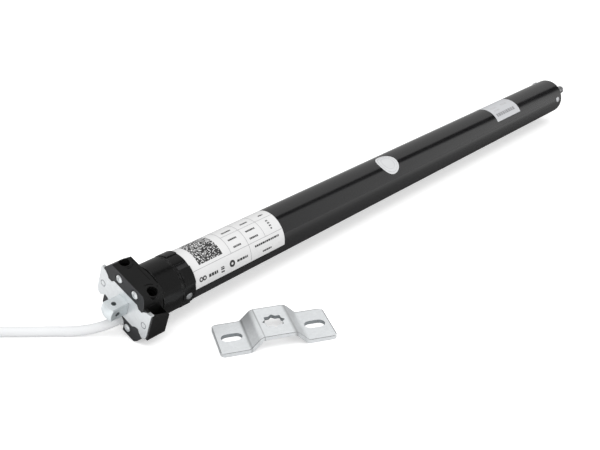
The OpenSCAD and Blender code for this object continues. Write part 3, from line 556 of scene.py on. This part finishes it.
def bent_strip(name, colour, roughness, metallic):
    """Plated strip: small cells, painted shade and highlights where it is bent, and painted shade lines
    inside its rims and along its edges.
    """
    f = Finish(name, colour, metallic, roughness)
    plating = f.effect(SPANGLE, Scale=650.0)
    edges = f.effect(EDGE_WEAR_AND_PAINTED_LIGHT, Width=PLATED_EDGE, Amount=0.9)
    bend_shade = f.effect(BEND_SHADE_PAINT)
    base = f.mix(plating["Cells"], 0.93, 1.06)
    base = f.mix(bend_shade["Share"], 0.0, base)
    # A painted shade line inside the rims, and painted shade along the edges
    base = f.mix(bend_shade["Rim"], base, 0.3)
    f.set_colour(f.mix(edges["Mask"], base, 0.42))
    f.vary_roughness(plating["Cells"], less=0.05, more=0.08, span=CELL_SPAN)
    f.bump(plating["Height"], strength=0.1, distance=0.00001)
    return f.material


def machined_metal(name, colour):
    """Turned or drawn metal with fine lines along the part."""
    line_stretch = (1.0, 40.0, 40.0)
    line_scale = 60.0
    f = Finish(name, colour, metallic=1.0, roughness=0.28)
    where = stretched(f.tree, object_position(f.tree), line_stretch)
    lines = noise(f.tree, where, line_scale)
    edges = f.effect(EDGE_WEAR_AND_PAINTED_LIGHT, Width=FINE_EDGE, Amount=0.5)
    base = f.mix(lines, 0.8, 1.15)
    f.set_colour(f.mix(edges["Mask"], base, 1.3))
    f.vary_roughness(lines, less=0.08, more=0.08)
    f.bump(lines, strength=0.15, distance=0.00002)
    return f.material


def cast_metal(name, colour, roughness=0.5):
    """Cast or sintered metal: a coarse skin and brighter edges."""
    f = Finish(name, colour, metallic=0.9, roughness=roughness)
    skin = f.effect(FINE_GRAIN, Grain_scale=700.0, Mottle_scale=60.0)
    edges = f.effect(EDGE_WEAR_AND_PAINTED_LIGHT, Width=MOULDED_EDGE, Amount=0.6)
    base = f.mix(skin["Mottle"], 0.75, 1.15)
    f.set_colour(f.mix(edges["Mask"], base, 1.5))
    f.vary_roughness(skin["Mottle"], less=0.1, more=0.1)
    f.bump(skin["Height"], strength=0.5, distance=0.00006)
    return f.material


def stacked_sheets(name, colour):
    """Iron core: thin sheets stacked along the axis. One wave spans a pale and a dark sheet."""
    sheet = 0.0005
    wave_at_scale_1 = 0.31
    f = Finish(name, colour, metallic=0.8, roughness=0.5)
    sheets = waves(f.tree, wave_at_scale_1 / sheet / 2)
    skin = f.effect(FINE_GRAIN, Grain_scale=500.0, Mottle_scale=50.0)
    f.set_colour(f.mix(sheets, 0.6, 1.3))
    f.vary_roughness(skin["Mottle"], less=0.1, more=0.1)
    f.bump(sheets, strength=0.5, distance=0.00008)
    return f.material


def wound_copper(name, colour):
    """Enamelled copper wire ends, lying round the axis."""
    f = Finish(name, colour, metallic=0.85, roughness=0.28, Coat_Weight=0.6)
    wires = waves(f.tree, 420.0, distortion=6.0)
    skin = f.effect(FINE_GRAIN, Grain_scale=600.0, Mottle_scale=90.0)
    base = f.mix(wires, 0.5, 1.3)
    f.set_colour(f.mix(skin["Mottle"], base, 0.8))
    f.bump(wires, strength=0.7, distance=0.0002)
    return f.material


def cable_jacket(name, colour):
    """Soft jacket of a cable or a wire, a little scuffed."""
    f = Finish(name, colour, metallic=0.0, roughness=0.42)
    skin = f.effect(FINE_GRAIN, Grain_scale=800.0, Mottle_scale=30.0)
    scuffs = f.effect(SCUFFS, Scale=60.0, Amount=0.25)
    base = f.mix(skin["Mottle"], 0.95, 1.03)
    f.set_colour(f.mix(scuffs["Mask"], base, 0.8))
    f.vary_roughness(skin["Mottle"], less=0.06, more=0.06)
    f.bump(skin["Height"], strength=0.2, distance=0.00003)
    return f.material


def label_stock(name, colour, roughness, metallic):
    """Label stock: faint fibres and a slight sheen."""
    f = Finish(name, colour, metallic, roughness)
    fibres = f.effect(FINE_GRAIN, Grain_scale=1600.0, Mottle_scale=120.0)
    f.set_colour(f.mix(fibres["Mottle"], 0.96, 1.02))
    f.vary_roughness(fibres["Mottle"], less=0.06, more=0.06)
    f.bump(fibres["Height"], strength=0.15, distance=0.00002)
    return f.material


def print_ink(name, colour):
    """Printed ink, which covers the paper a little unevenly."""
    f = Finish(name, colour, metallic=0.0, roughness=0.45)
    cover = f.effect(FINE_GRAIN, Grain_scale=1400.0, Mottle_scale=200.0)
    f.set_colour(f.mix(cover["Mottle"], 0.8, 1.6))
    f.vary_roughness(cover["Mottle"], less=0.05, more=0.1)
    return f.material


FINISHES = {
    "cover_plastic": moulded_plastic("Textured black plastic", (0.022, 0.023, 0.026), 0.5, 1100.0,
                                     depth=0.00008, wear=0.3, worn=2.0, gloss=0.4, mottle=700.0,
                                     contrast=0.7),
    "black_plastic": moulded_plastic("Black moulded plastic", (0.006, 0.006, 0.006), 0.42, 1500.0, wear=0.3,
                                     gloss=0.35),
    "crown_plastic": turned_plastic("Smooth black plastic", (0.005, 0.005, 0.005), 0.23, 0.34),
    "adjuster_plastic": moulded_plastic("Deep black plastic", (0.001, 0.001, 0.001), 0.4, 900.0, gloss=0.05),
    "tube_paint": powder_coat("Black powder coat", (0.008, 0.008, 0.0085)),
    "zinc": zinc_plate("Bright zinc plate", (0.85, 0.875, 0.89), 0.38, 0.7),
    "bracket_zinc": bent_strip("Bracket zinc plate", (0.90, 0.925, 0.94), 0.40, 0.45),
    # The stub's edges, and those of its side, take a rim below 1: a painted shade line
    "stub_zinc": zinc_plate("Stub zinc plate", (0.80, 0.85, 0.87), 0.34, 0.40, vary=0.06, rim=0.7),
    # Darker copy of the stub's zinc for its side that faces -Y: painted shade
    "stub_side": zinc_plate("Stub side with painted shade", (0.60, 0.65, 0.67), 0.3, 0.5, vary=0.06, rim=0.9),
    # Dark zinc on the walls of the stub's holes: painted shade
    "hole_shade": zinc_plate("Painted shade inside the holes", (0.22, 0.25, 0.26), 0.5, 0.4),
    # Darker zinc in the plate's stamped rings: painted shade
    "groove_shade": zinc_plate("Painted shade in the stamped rings", (0.42, 0.44, 0.46), 0.4, 0.6),
    # Darker zinc on the walls of the bracket's slots and star hole: painted shade
    "slot_shade": zinc_plate("Painted shade inside the slots", (0.40, 0.43, 0.45), 0.4, 0.5),
    "rivet_zinc": zinc_plate("Rivet zinc", (0.55, 0.56, 0.57), 0.4, 0.8),
    "screw_zinc": zinc_plate("Screw zinc", (0.76, 0.77, 0.79), 0.42, 0.55),
    "steel": machined_metal("Turned steel", (0.62, 0.62, 0.63)),
    "sintered": cast_metal("Sintered steel", (0.33, 0.32, 0.31), 0.42),
    "cast_zinc": cast_metal("Cast zinc", (0.55, 0.55, 0.56)),
    "bronze": cast_metal("Sintered bronze", (0.50, 0.33, 0.14), 0.4),
    "core_iron": stacked_sheets("Stacked core iron", (0.16, 0.16, 0.17)),
    "rotor_iron": stacked_sheets("Rotor iron", (0.30, 0.30, 0.30)),
    "copper": wound_copper("Enamelled copper", (0.55, 0.22, 0.08)),
    "jacket": cable_jacket("White cable jacket", (0.76, 0.77, 0.78)),
    "ivory": moulded_plastic("Ivory plastic", (0.72, 0.68, 0.55), 0.45, 1000.0, depth=0.00004, wear=0.2,
                             worn=1.15),
    "yellow": moulded_plastic("Yellow gear plastic", (0.72, 0.50, 0.10), 0.38, 1200.0, wear=0.2, worn=1.2),
    "red": moulded_plastic("Red plastic", (0.60, 0.06, 0.04), 0.35, 1200.0, wear=0.2, worn=1.3),
    "board": moulded_plastic("Green board", (0.03, 0.20, 0.08), 0.3, 700.0, wear=0.2, worn=1.5),
    "foam": moulded_plastic("Grey foam", (0.12, 0.12, 0.13), 0.85, 420.0, depth=0.0002, wear=0.1, worn=1.2),
    "capacitor": moulded_plastic("White capacitor can", (0.74, 0.74, 0.72), 0.35, 900.0, wear=0.1, worn=1.05),
    "lining": moulded_plastic("Brake lining", (0.16, 0.09, 0.06), 0.8, 500.0, depth=0.0001, wear=0.2,
                              worn=1.3),
    "paper": label_stock("White label paper", (0.68, 0.68, 0.68), 0.4, 0.0),
    "foil": label_stock("Grey foil label", (0.62, 0.63, 0.65), 0.35, 0.2),
    "sticker": label_stock("Pale round sticker", (0.70, 0.71, 0.72), 0.35, 0.2),
    "ink": print_ink("Black print", (0.03, 0.03, 0.03)),
    "grey_ink": print_ink("Grey print", (0.25, 0.25, 0.26)),
    "pale_ink": print_ink("Pale print", (0.44, 0.44, 0.45)),
    "brown_lead": cable_jacket("Brown core", (0.25, 0.10, 0.04)),
}

# The nodes that wear each finish. The planets, and whatever isn't named here, are of sintered steel.
REST_FINISH = "sintered"
WEARERS = {
    "zinc": ("mounting_plate", "cover_screws"),
    "bracket_zinc": ("wall_bracket",),
    "stub_zinc": ("square_stub",),
    "rivet_zinc": ("tube_rivets",),
    "screw_zinc": ("tube_screws",),
    "cover_plastic": ("head_cover",),
    "black_plastic": ("head_housing", "end_cap", "limit_switch_up", "limit_switch_down"),
    "crown_plastic": ("tube_collar", "crown_ring"),
    "adjuster_plastic": ("limit_adjuster_up", "limit_adjuster_down", "cable_tie"),
    "tube_paint": ("motor_tube",),
    "jacket": ("cable_grommet",),
    "brown_lead": ("inner_leads", "cable_cores"),
    "ivory": ("switch_carrier",),
    "yellow": ("crown_pinion", "counter_disc_up_b", "counter_disc_down_b"),
    "red": ("counter_disc_up_a", "counter_disc_down_a", "switch_plunger_up", "switch_plunger_down"),
    "board": ("terminal_board",),
    "capacitor": ("run_capacitor",),
    "foam": ("capacitor_rings",),
    "lining": ("brake_disc",),
    "steel": ("switch_pins", "brake_spring", "brake_armature", "rear_bearing", "front_bearing", "rotor_shaft",
              "output_shaft"),
    "cast_zinc": ("brake_housing", "rear_bell", "front_bell"),
    "core_iron": ("stator_core",),
    "copper": ("stator_winding",),
    "rotor_iron": ("rotor_core",),
    "sintered": ("ring_gear", "carrier_1", "carrier_2"),
    "bronze": ("output_bearing",),
}
NODE_FINISH = {node: finish for finish, nodes in WEARERS.items() for node in nodes}

# Tests for single faces: bounds on a part of the face's normal, and distances in metres
FRONT_NORMAL_X = -0.9
SHADED_SIDE_NORMAL_Y = -0.85
STAMPED_X = (0.00001, 0.0008)
HOLE_REACH = STUB_HOLE_R * 1.02
UPRIGHT_NORMAL_Z = 0.3
BRACKET_RIM = 0.002


def some_faces(node, finish, chosen):
    """Gives the faces that a test picks a finish of their own. The nodes lie in the row frame."""
    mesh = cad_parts[node].data
    mesh.materials.append(FINISHES[finish])
    for face in mesh.polygons:
        if chosen(face.center, face.normal):
            face.material_index = len(mesh.materials) - 1


def off_cover_front(centre, normal):
    return normal.x > FRONT_NORMAL_X


# The stub's side that faces -Y, which gets painted shade
def on_shaded_stub_side(centre, normal):
    return normal.y < SHADED_SIDE_NORMAL_Y


def in_stamped_ring(centre, normal):
    return STAMPED_X[0] < centre.x < STAMPED_X[1]


def in_stub_hole(centre, normal):
    """Walls of the stub's two cross holes, which lie near one of their axes."""
    aside = centre.x - STUB_HOLE_X
    c, s = math.cos(HEAD_ROLL), math.sin(HEAD_ROLL)
    across = (centre.y * c + centre.z * s, centre.z * c - centre.y * s)
    return any(math.hypot(aside, off) < HOLE_REACH for off in across)


def in_bracket_hole(centre, normal):
    """Upright walls of the bracket's slots and of its star hole, which lie well inside its edges."""
    along = centre - Vector(BRACKET_PLACE)
    c, s = math.cos(BRACKET_TURN), math.sin(BRACKET_TURN)
    sides = (along.x * c + along.y * s, along.y * c - along.x * s)
    inside = all(abs(off) < half - BRACKET_RIM for off, half in zip(sides, BRACKET_HALF))
    return inside and abs(normal.z) < UPRIGHT_NORMAL_Z


def dress_nodes():
    for name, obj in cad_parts.items():
        obj.data.materials.clear()
        obj.data.materials.append(FINISHES[NODE_FINISH.get(name, REST_FINISH)])

    # Only the front of the cover is textured; its sides are as smooth as the housing behind it
    some_faces("head_cover", "black_plastic", off_cover_front)
    some_faces("square_stub", "stub_side", on_shaded_stub_side)
    some_faces("square_stub", "hole_shade", in_stub_hole)
    some_faces("mounting_plate", "groove_shade", in_stamped_ring)
    some_faces("wall_bracket", "slot_shade", in_bracket_hole)


dress_nodes()
cable.data.materials.append(FINISHES["jacket"])

# Labels. Stations along the tube are in mm and angles round it in degrees. A lift is how far something stands
# off the tube's wall, in metres.
PAPER_LIFT = 0.00008
PRINT_LIFT = 0.00013
PAPER, FIRST_INK, SECOND_INK = 0, 1, 2
CURVE_STEP = 3
RING_STEPS = 24

# A line of print: start, end, angle, height and longest bar. Its bars are at least a third of that length,
# and a sixth of it apart.
SHORTEST_SHARE = 3
GAP_SHARE = 6
LEAST_REST = 0.4

# Rating label: its sheet, the block of cells, rules along and round the tube, rings, and lines of print
RATING_SEED = 7
RATING_SHEET = (45.2, 130.5, 8, 190.5)
CODE_AREA = (52.3, 73.3, 70, 141)
CODE_CELLS = 36
CODE_SHARE = 0.56
# CODE_GAIN thins the cells toward the upper side: a painted sheen
CODE_GAIN = 0.28
RULES_ALONG = ((45.6, 130, 148.8), (80, 130, 105.5))
RULE_HALF = 0.45
RULES_ROUND = ((79.8, 62, 148.8), (96.4, 62, 187), (113.2, 62, 148.8))
RULE_WIDTH = 0.3
RATING_RINGS = ((50.4, 172, 1.7, 0.8), (53.4, 172, 1.7, 0.8), (78.6, 171, 2.5, 0.9))
HEADINGS = ((84, 92.5, 95, 4.4, 1.5), (102, 109, 94, 4.4, 1.5), (120.5, 125, 93, 4.4, 1.5))
CELL_LINES = ((83.3, 91.5, 120, 4.2, 1.5), (84, 91.2, 139, 4.2, 1.5), (100.3, 109, 119, 4.2, 1.5),
              (99.8, 108.4, 138, 4.2, 1.5), (121, 123, 116, 3.6, 1.5), (121, 123, 123, 3.6, 1.5),
              (121, 123, 130, 3.6, 1.5), (121, 123, 137, 3.6, 1.5))
FOOT_LINES = ((57.2, 65.2, 172.3, 7.0, 2.6), (68.2, 71.2, 168.0, 2.2, 9), (68.2, 71.2, 172, 3.2, 9),
              (68.2, 71.2, 178.6, 3.4, 9), (83.2, 93.3, 171, 5.4, 2.6), (101.4, 125.4, 159.4, 4.4, 2.2),
              (107.9, 117.3, 178.6, 4.2, 2.2))

# Round sticker: its middle, radius in mm, how finely it is divided, and its two printed rings
STICKER_X = 267.6
STICKER_ANGLE = 116
STICKER_R = 10.8
STICKER_STEPS = 40
STICKER_BANDS = 8
STICKER_RINGS = ((9.2, 8.7), (6.4, 5.9))

# Foil label near the output end
FOIL_SEED = 3
FOIL_SHEET = (436, 480, 46, 150)
FOIL_PALE_LINES = ((442, 452, 100, 9.0, 4.2), (460, 471, 100, 9.0, 4.2), (442, 452, 113, 6.0, 4.2))
FOIL_DARK_LINES = ((440, 474, 130, 11.0, 4.2),)


def on_tube(x, degrees, lift):
    """A point on the tube's wall, from a station in mm and an angle."""
    a = math.radians(degrees)
    r = TUBE_R + lift
    return Vector((x * MM, r * math.cos(a), r * math.sin(a)))


def add_face(bm, corners, index):
    face = bm.faces.new(corners)
    face.material_index = index
    face.smooth = True


def patch(bm, x0, x1, a0, a1, lift, index, steps=None):
    """A rectangle of print or paper, curved round the tube."""
    steps = steps or max(1, math.ceil(abs(a1 - a0) / CURVE_STEP))
    rows = [[bm.verts.new(on_tube(x, a0 + (a1 - a0) * i / steps, lift)) for x in (x0, x1)]
            for i in range(steps + 1)]
    for lower, upper in zip(rows, rows[1:]):
        add_face(bm, (lower[0], upper[0], upper[1], lower[1]), index)


def ring_of_points(bm, x, angle, radius, steps, lift):
    """Vertices of a circle that is wrapped round the tube. Its radius is in mm."""
    points = []
    for i in range(steps):
        t = 2 * math.pi * i / steps
        turned = angle + math.degrees(radius * math.sin(t) * MM / TUBE_R)
        points.append(bm.verts.new(on_tube(x + radius * math.cos(t), turned, lift)))
    return points


def printed_ring(bm, x, angle, outer, inner):
    outside, within = [ring_of_points(bm, x, angle, r, RING_STEPS, PRINT_LIFT) for r in (outer, inner)]
    for i in range(RING_STEPS):
        j = (i + 1) % RING_STEPS
        add_face(bm, (outside[i], within[i], within[j], outside[j]), FIRST_INK)


def bar_line(bm, rng, line, ink):
    """A line of small print, as plain bars of uneven length."""
    x, end, angle, height, longest = line
    while x < end - LEAST_REST:
        length = min(rng.uniform(longest / SHORTEST_SHARE, longest), end - x)
        patch(bm, x, x + length, angle - height / 2, angle + height / 2, PRINT_LIFT, ink)
        x += length + longest / GAP_SHARE


def code_block(bm, rng):
    """A square of random small cells, which encode nothing. They lie closer toward its lower side, so that
    the paler upper part is a painted sheen.
    """
    x0, x1, a0, a1 = CODE_AREA
    dx, da = (x1 - x0) / CODE_CELLS, (a1 - a0) / CODE_CELLS
    for i in range(CODE_CELLS):
        for j in range(CODE_CELLS):
            if rng.random() < CODE_SHARE + CODE_GAIN * j / CODE_CELLS:
                patch(bm, x0 + i * dx, x0 + (i + 1) * dx, a0 + j * da, a0 + (j + 1) * da, PRINT_LIFT,
                      FIRST_INK, 1)


def add_label(name, bm, finishes):
    label = mesh_from(name, bm)
    for finish in finishes:
        label.data.materials.append(FINISHES[finish])
    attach(label, "motor")


def add_rating_label():
    """White paper label behind the collar, with bars, rules and a block of random cells."""
    rng = random.Random(RATING_SEED)
    bm = bmesh.new()
    patch(bm, *RATING_SHEET, PAPER_LIFT, PAPER)
    code_block(bm, rng)
    for x0, x1, angle in RULES_ALONG:
        patch(bm, x0, x1, angle - RULE_HALF, angle + RULE_HALF, PRINT_LIFT, SECOND_INK)
    for x, a0, a1 in RULES_ROUND:
        patch(bm, x, x + RULE_WIDTH, a0, a1, PRINT_LIFT, SECOND_INK)
    for ring in RATING_RINGS:
        printed_ring(bm, *ring)
    for line in HEADINGS + CELL_LINES + FOOT_LINES:
        bar_line(bm, rng, line, FIRST_INK)
    add_label("rating_label", bm, ("paper", "ink", "grey_ink"))


def add_round_sticker():
    """Pale disc on the tube's upper side, with two printed rings."""
    bm = bmesh.new()
    centre = bm.verts.new(on_tube(STICKER_X, STICKER_ANGLE, PAPER_LIFT))
    last = None
    for k in range(1, STICKER_BANDS + 1):
        band = ring_of_points(bm, STICKER_X, STICKER_ANGLE, STICKER_R * k / STICKER_BANDS, STICKER_STEPS,
                              PAPER_LIFT)
        for i in range(STICKER_STEPS):
            j = (i + 1) % STICKER_STEPS
            corners = (last[i], last[j], band[j], band[i]) if last else (centre, band[j], band[i])
            add_face(bm, corners, PAPER)
        last = band
    for outer, inner in STICKER_RINGS:
        printed_ring(bm, STICKER_X, STICKER_ANGLE, outer, inner)
    add_label("round_sticker", bm, ("sticker", "pale_ink"))


def add_foil_label():
    """Grey foil label near the output end, with pale and dark lines of bars."""
    rng = random.Random(FOIL_SEED)
    bm = bmesh.new()
    patch(bm, *FOIL_SHEET, PAPER_LIFT, PAPER)
    for line in FOIL_PALE_LINES:
        bar_line(bm, rng, line, FIRST_INK)
    for line in FOIL_DARK_LINES:
        bar_line(bm, rng, line, SECOND_INK)
    add_label("foil_label", bm, ("foil", "pale_ink", "grey_ink"))


add_rating_label()
add_round_sticker()
add_foil_label()

# Table. Rays that are reflected see it in deep shade beside the tube, paler further out and past the head.
WHITE = (1, 1, 1, 1)
FLOOR_HALF = 1.6
FLOOR_GAP = 0.0001
TABLE_ROUGHNESS = 0.7
TABLE_GLOSS = 0.2
TABLE_TONE = 0.78
TABLE_GLOW = 0.46
MIRRORED_GLOW = 0.12
ALONG_TUBE = (0.1, 0.6)
OPEN_TABLE = (0.34, 0.62)
BESIDE_TUBE = (0.012, 0.10)
DEEP_SHADE = 0.13
BEFORE_HEAD = (-0.023, 0.006)

# Room, by the direction that a ray looks in. Reflections see a dark slit with a softbox on each side of it.
SLIT_DIRECTION = (0.368, 0.921, -0.127)
SLIT_MIDDLE = 0.04
SLIT_EDGE = (0.085, 0.125)
SLIT_LEVELS = (0.01, 1.0)
SEAM = (-0.02, 0.02)
BACK_BOX_Z = (-0.1, 0.8)
BACK_BOX_LEVELS = (0.40, 0.46)
FRONT_BOX_X = (0.65, 0.86)
FRONT_BOX_LEVELS = (0.38, 0.73)

# Soft light on the surfaces, brighter from above and from the front
SOFT_Z = (-0.1, 0.9)
SOFT_LEVELS = (0.75, 1.3)
SOFT_Y = (-0.8, 0.8)
SOFT_SIDES = (1.2, 0.62)

# Lamp, in metres and watts
SOFTBOX_PLACE = (-0.4, -0.5, 1.3)
SOFTBOX_TARGET = (0.2, 0, 0)
SOFTBOX_SIZE = (0.7, 0.5)
SOFTBOX_POWER = 5


def mirrored_table(tree):
    """How bright a reflected ray sees the table at each place."""
    where = split_axes(tree, object_position(tree))
    open_level = map_range(tree, where["X"], ALONG_TUBE, OPEN_TABLE)
    away = math_node(tree, "ABSOLUTE", where["Y"])
    aside = map_range(tree, away, BESIDE_TUBE, (DEEP_SHADE, open_level))
    before = map_range(tree, where["X"], BEFORE_HEAD, (1.0, 0.0))
    return math_node(tree, "MAXIMUM", aside, before)


def table_finish():
    """White table that keeps the object's shadow and looks white to the camera."""
    material = bpy.data.materials.new("White table")
    material.use_nodes = True
    tree = material.node_tree
    shader = tree.nodes["Principled BSDF"]
    shader.inputs["Roughness"].default_value = TABLE_ROUGHNESS
    shader.inputs["Specular IOR Level"].default_value = TABLE_GLOSS
    path = tree.nodes.new("ShaderNodeLightPath").outputs
    lit = mirrored_table(tree)
    shaded = either(tree, path["Is Glossy Ray"], 1.0, lit)
    colour = tree.nodes.new("ShaderNodeCombineColor")
    for channel in ("Red", "Green", "Blue"):
        tree.links.new(product(tree, shaded, TABLE_TONE), colour.inputs[channel])
    tree.links.new(colour.outputs["Color"], shader.inputs["Base Color"])

    glow = tree.nodes.new("ShaderNodeEmission")
    glow.inputs["Color"].default_value = WHITE
    seen = math_node(tree, "MAXIMUM", path["Is Camera Ray"], path["Is Transmission Ray"])
    direct = product(tree, seen, TABLE_GLOW)
    mirrored = product(tree, product(tree, path["Is Glossy Ray"], lit), MIRRORED_GLOW)
    tree.links.new(math_node(tree, "MAXIMUM", direct, mirrored), glow.inputs["Strength"])
    both = tree.nodes.new("ShaderNodeAddShader")
    tree.links.new(shader.outputs["BSDF"], both.inputs[0])
    tree.links.new(glow.outputs["Emission"], both.inputs[1])
    tree.links.new(both.outputs["Shader"], tree.nodes["Material Output"].inputs["Surface"])
    return material


def add_floor():
    bm = bmesh.new()
    bmesh.ops.create_grid(bm, x_segments=1, y_segments=1, size=FLOOR_HALF)
    floor = mesh_from("floor", bm)
    floor.location = (0, 0, FLOOR_Z - FLOOR_GAP)
    floor.data.materials.append(table_finish())


def mirrored_room(tree, direction, axes):
    """What reflected rays see: a back and a front softbox, with the slit that draws a line along the tube."""
    dot = dot_product(tree, direction)
    dot.inputs[1].default_value = SLIT_DIRECTION
    side = math_node(tree, "SUBTRACT", dot.outputs["Value"], SLIT_MIDDLE)
    slit = map_range(tree, math_node(tree, "ABSOLUTE", side), SLIT_EDGE, SLIT_LEVELS)
    back = map_range(tree, axes["Z"], BACK_BOX_Z, BACK_BOX_LEVELS)
    front = map_range(tree, axes["X"], FRONT_BOX_X, FRONT_BOX_LEVELS)
    return product(tree, slit, map_range(tree, side, SEAM, (front, back)))


def add_world():
    """White room: plain white to the camera, softboxes to reflections, and a soft gradient as light."""
    world = bpy.data.worlds.new("studio")
    bpy.context.scene.world = world
    world.use_nodes = True
    tree = world.node_tree
    direction = tree.nodes.new("ShaderNodeTexCoord").outputs["Generated"]
    axes = split_axes(tree, direction)
    mirrored = mirrored_room(tree, direction, axes)
    soft = product(tree, map_range(tree, axes["Z"], SOFT_Z, SOFT_LEVELS),
                   map_range(tree, axes["Y"], SOFT_Y, SOFT_SIDES))
    path = tree.nodes.new("ShaderNodeLightPath").outputs
    level = either(tree, path["Is Glossy Ray"], soft, mirrored)
    background = tree.nodes["Background"]
    tree.links.new(either(tree, path["Is Camera Ray"], level, 1.0), background.inputs["Strength"])
    background.inputs["Color"].default_value = WHITE


def add_softbox():
    data = bpy.data.lights.new("high softbox", "AREA")
    data.shape = "RECTANGLE"
    data.size, data.size_y = SOFTBOX_SIZE
    data.energy = SOFTBOX_POWER
    lamp = place_object("high softbox", data)
    lamp.location = SOFTBOX_PLACE
    aim(lamp, SOFTBOX_TARGET)


add_floor()
add_world()
add_softbox()
bpy.context.scene.view_settings.view_transform = "Standard"
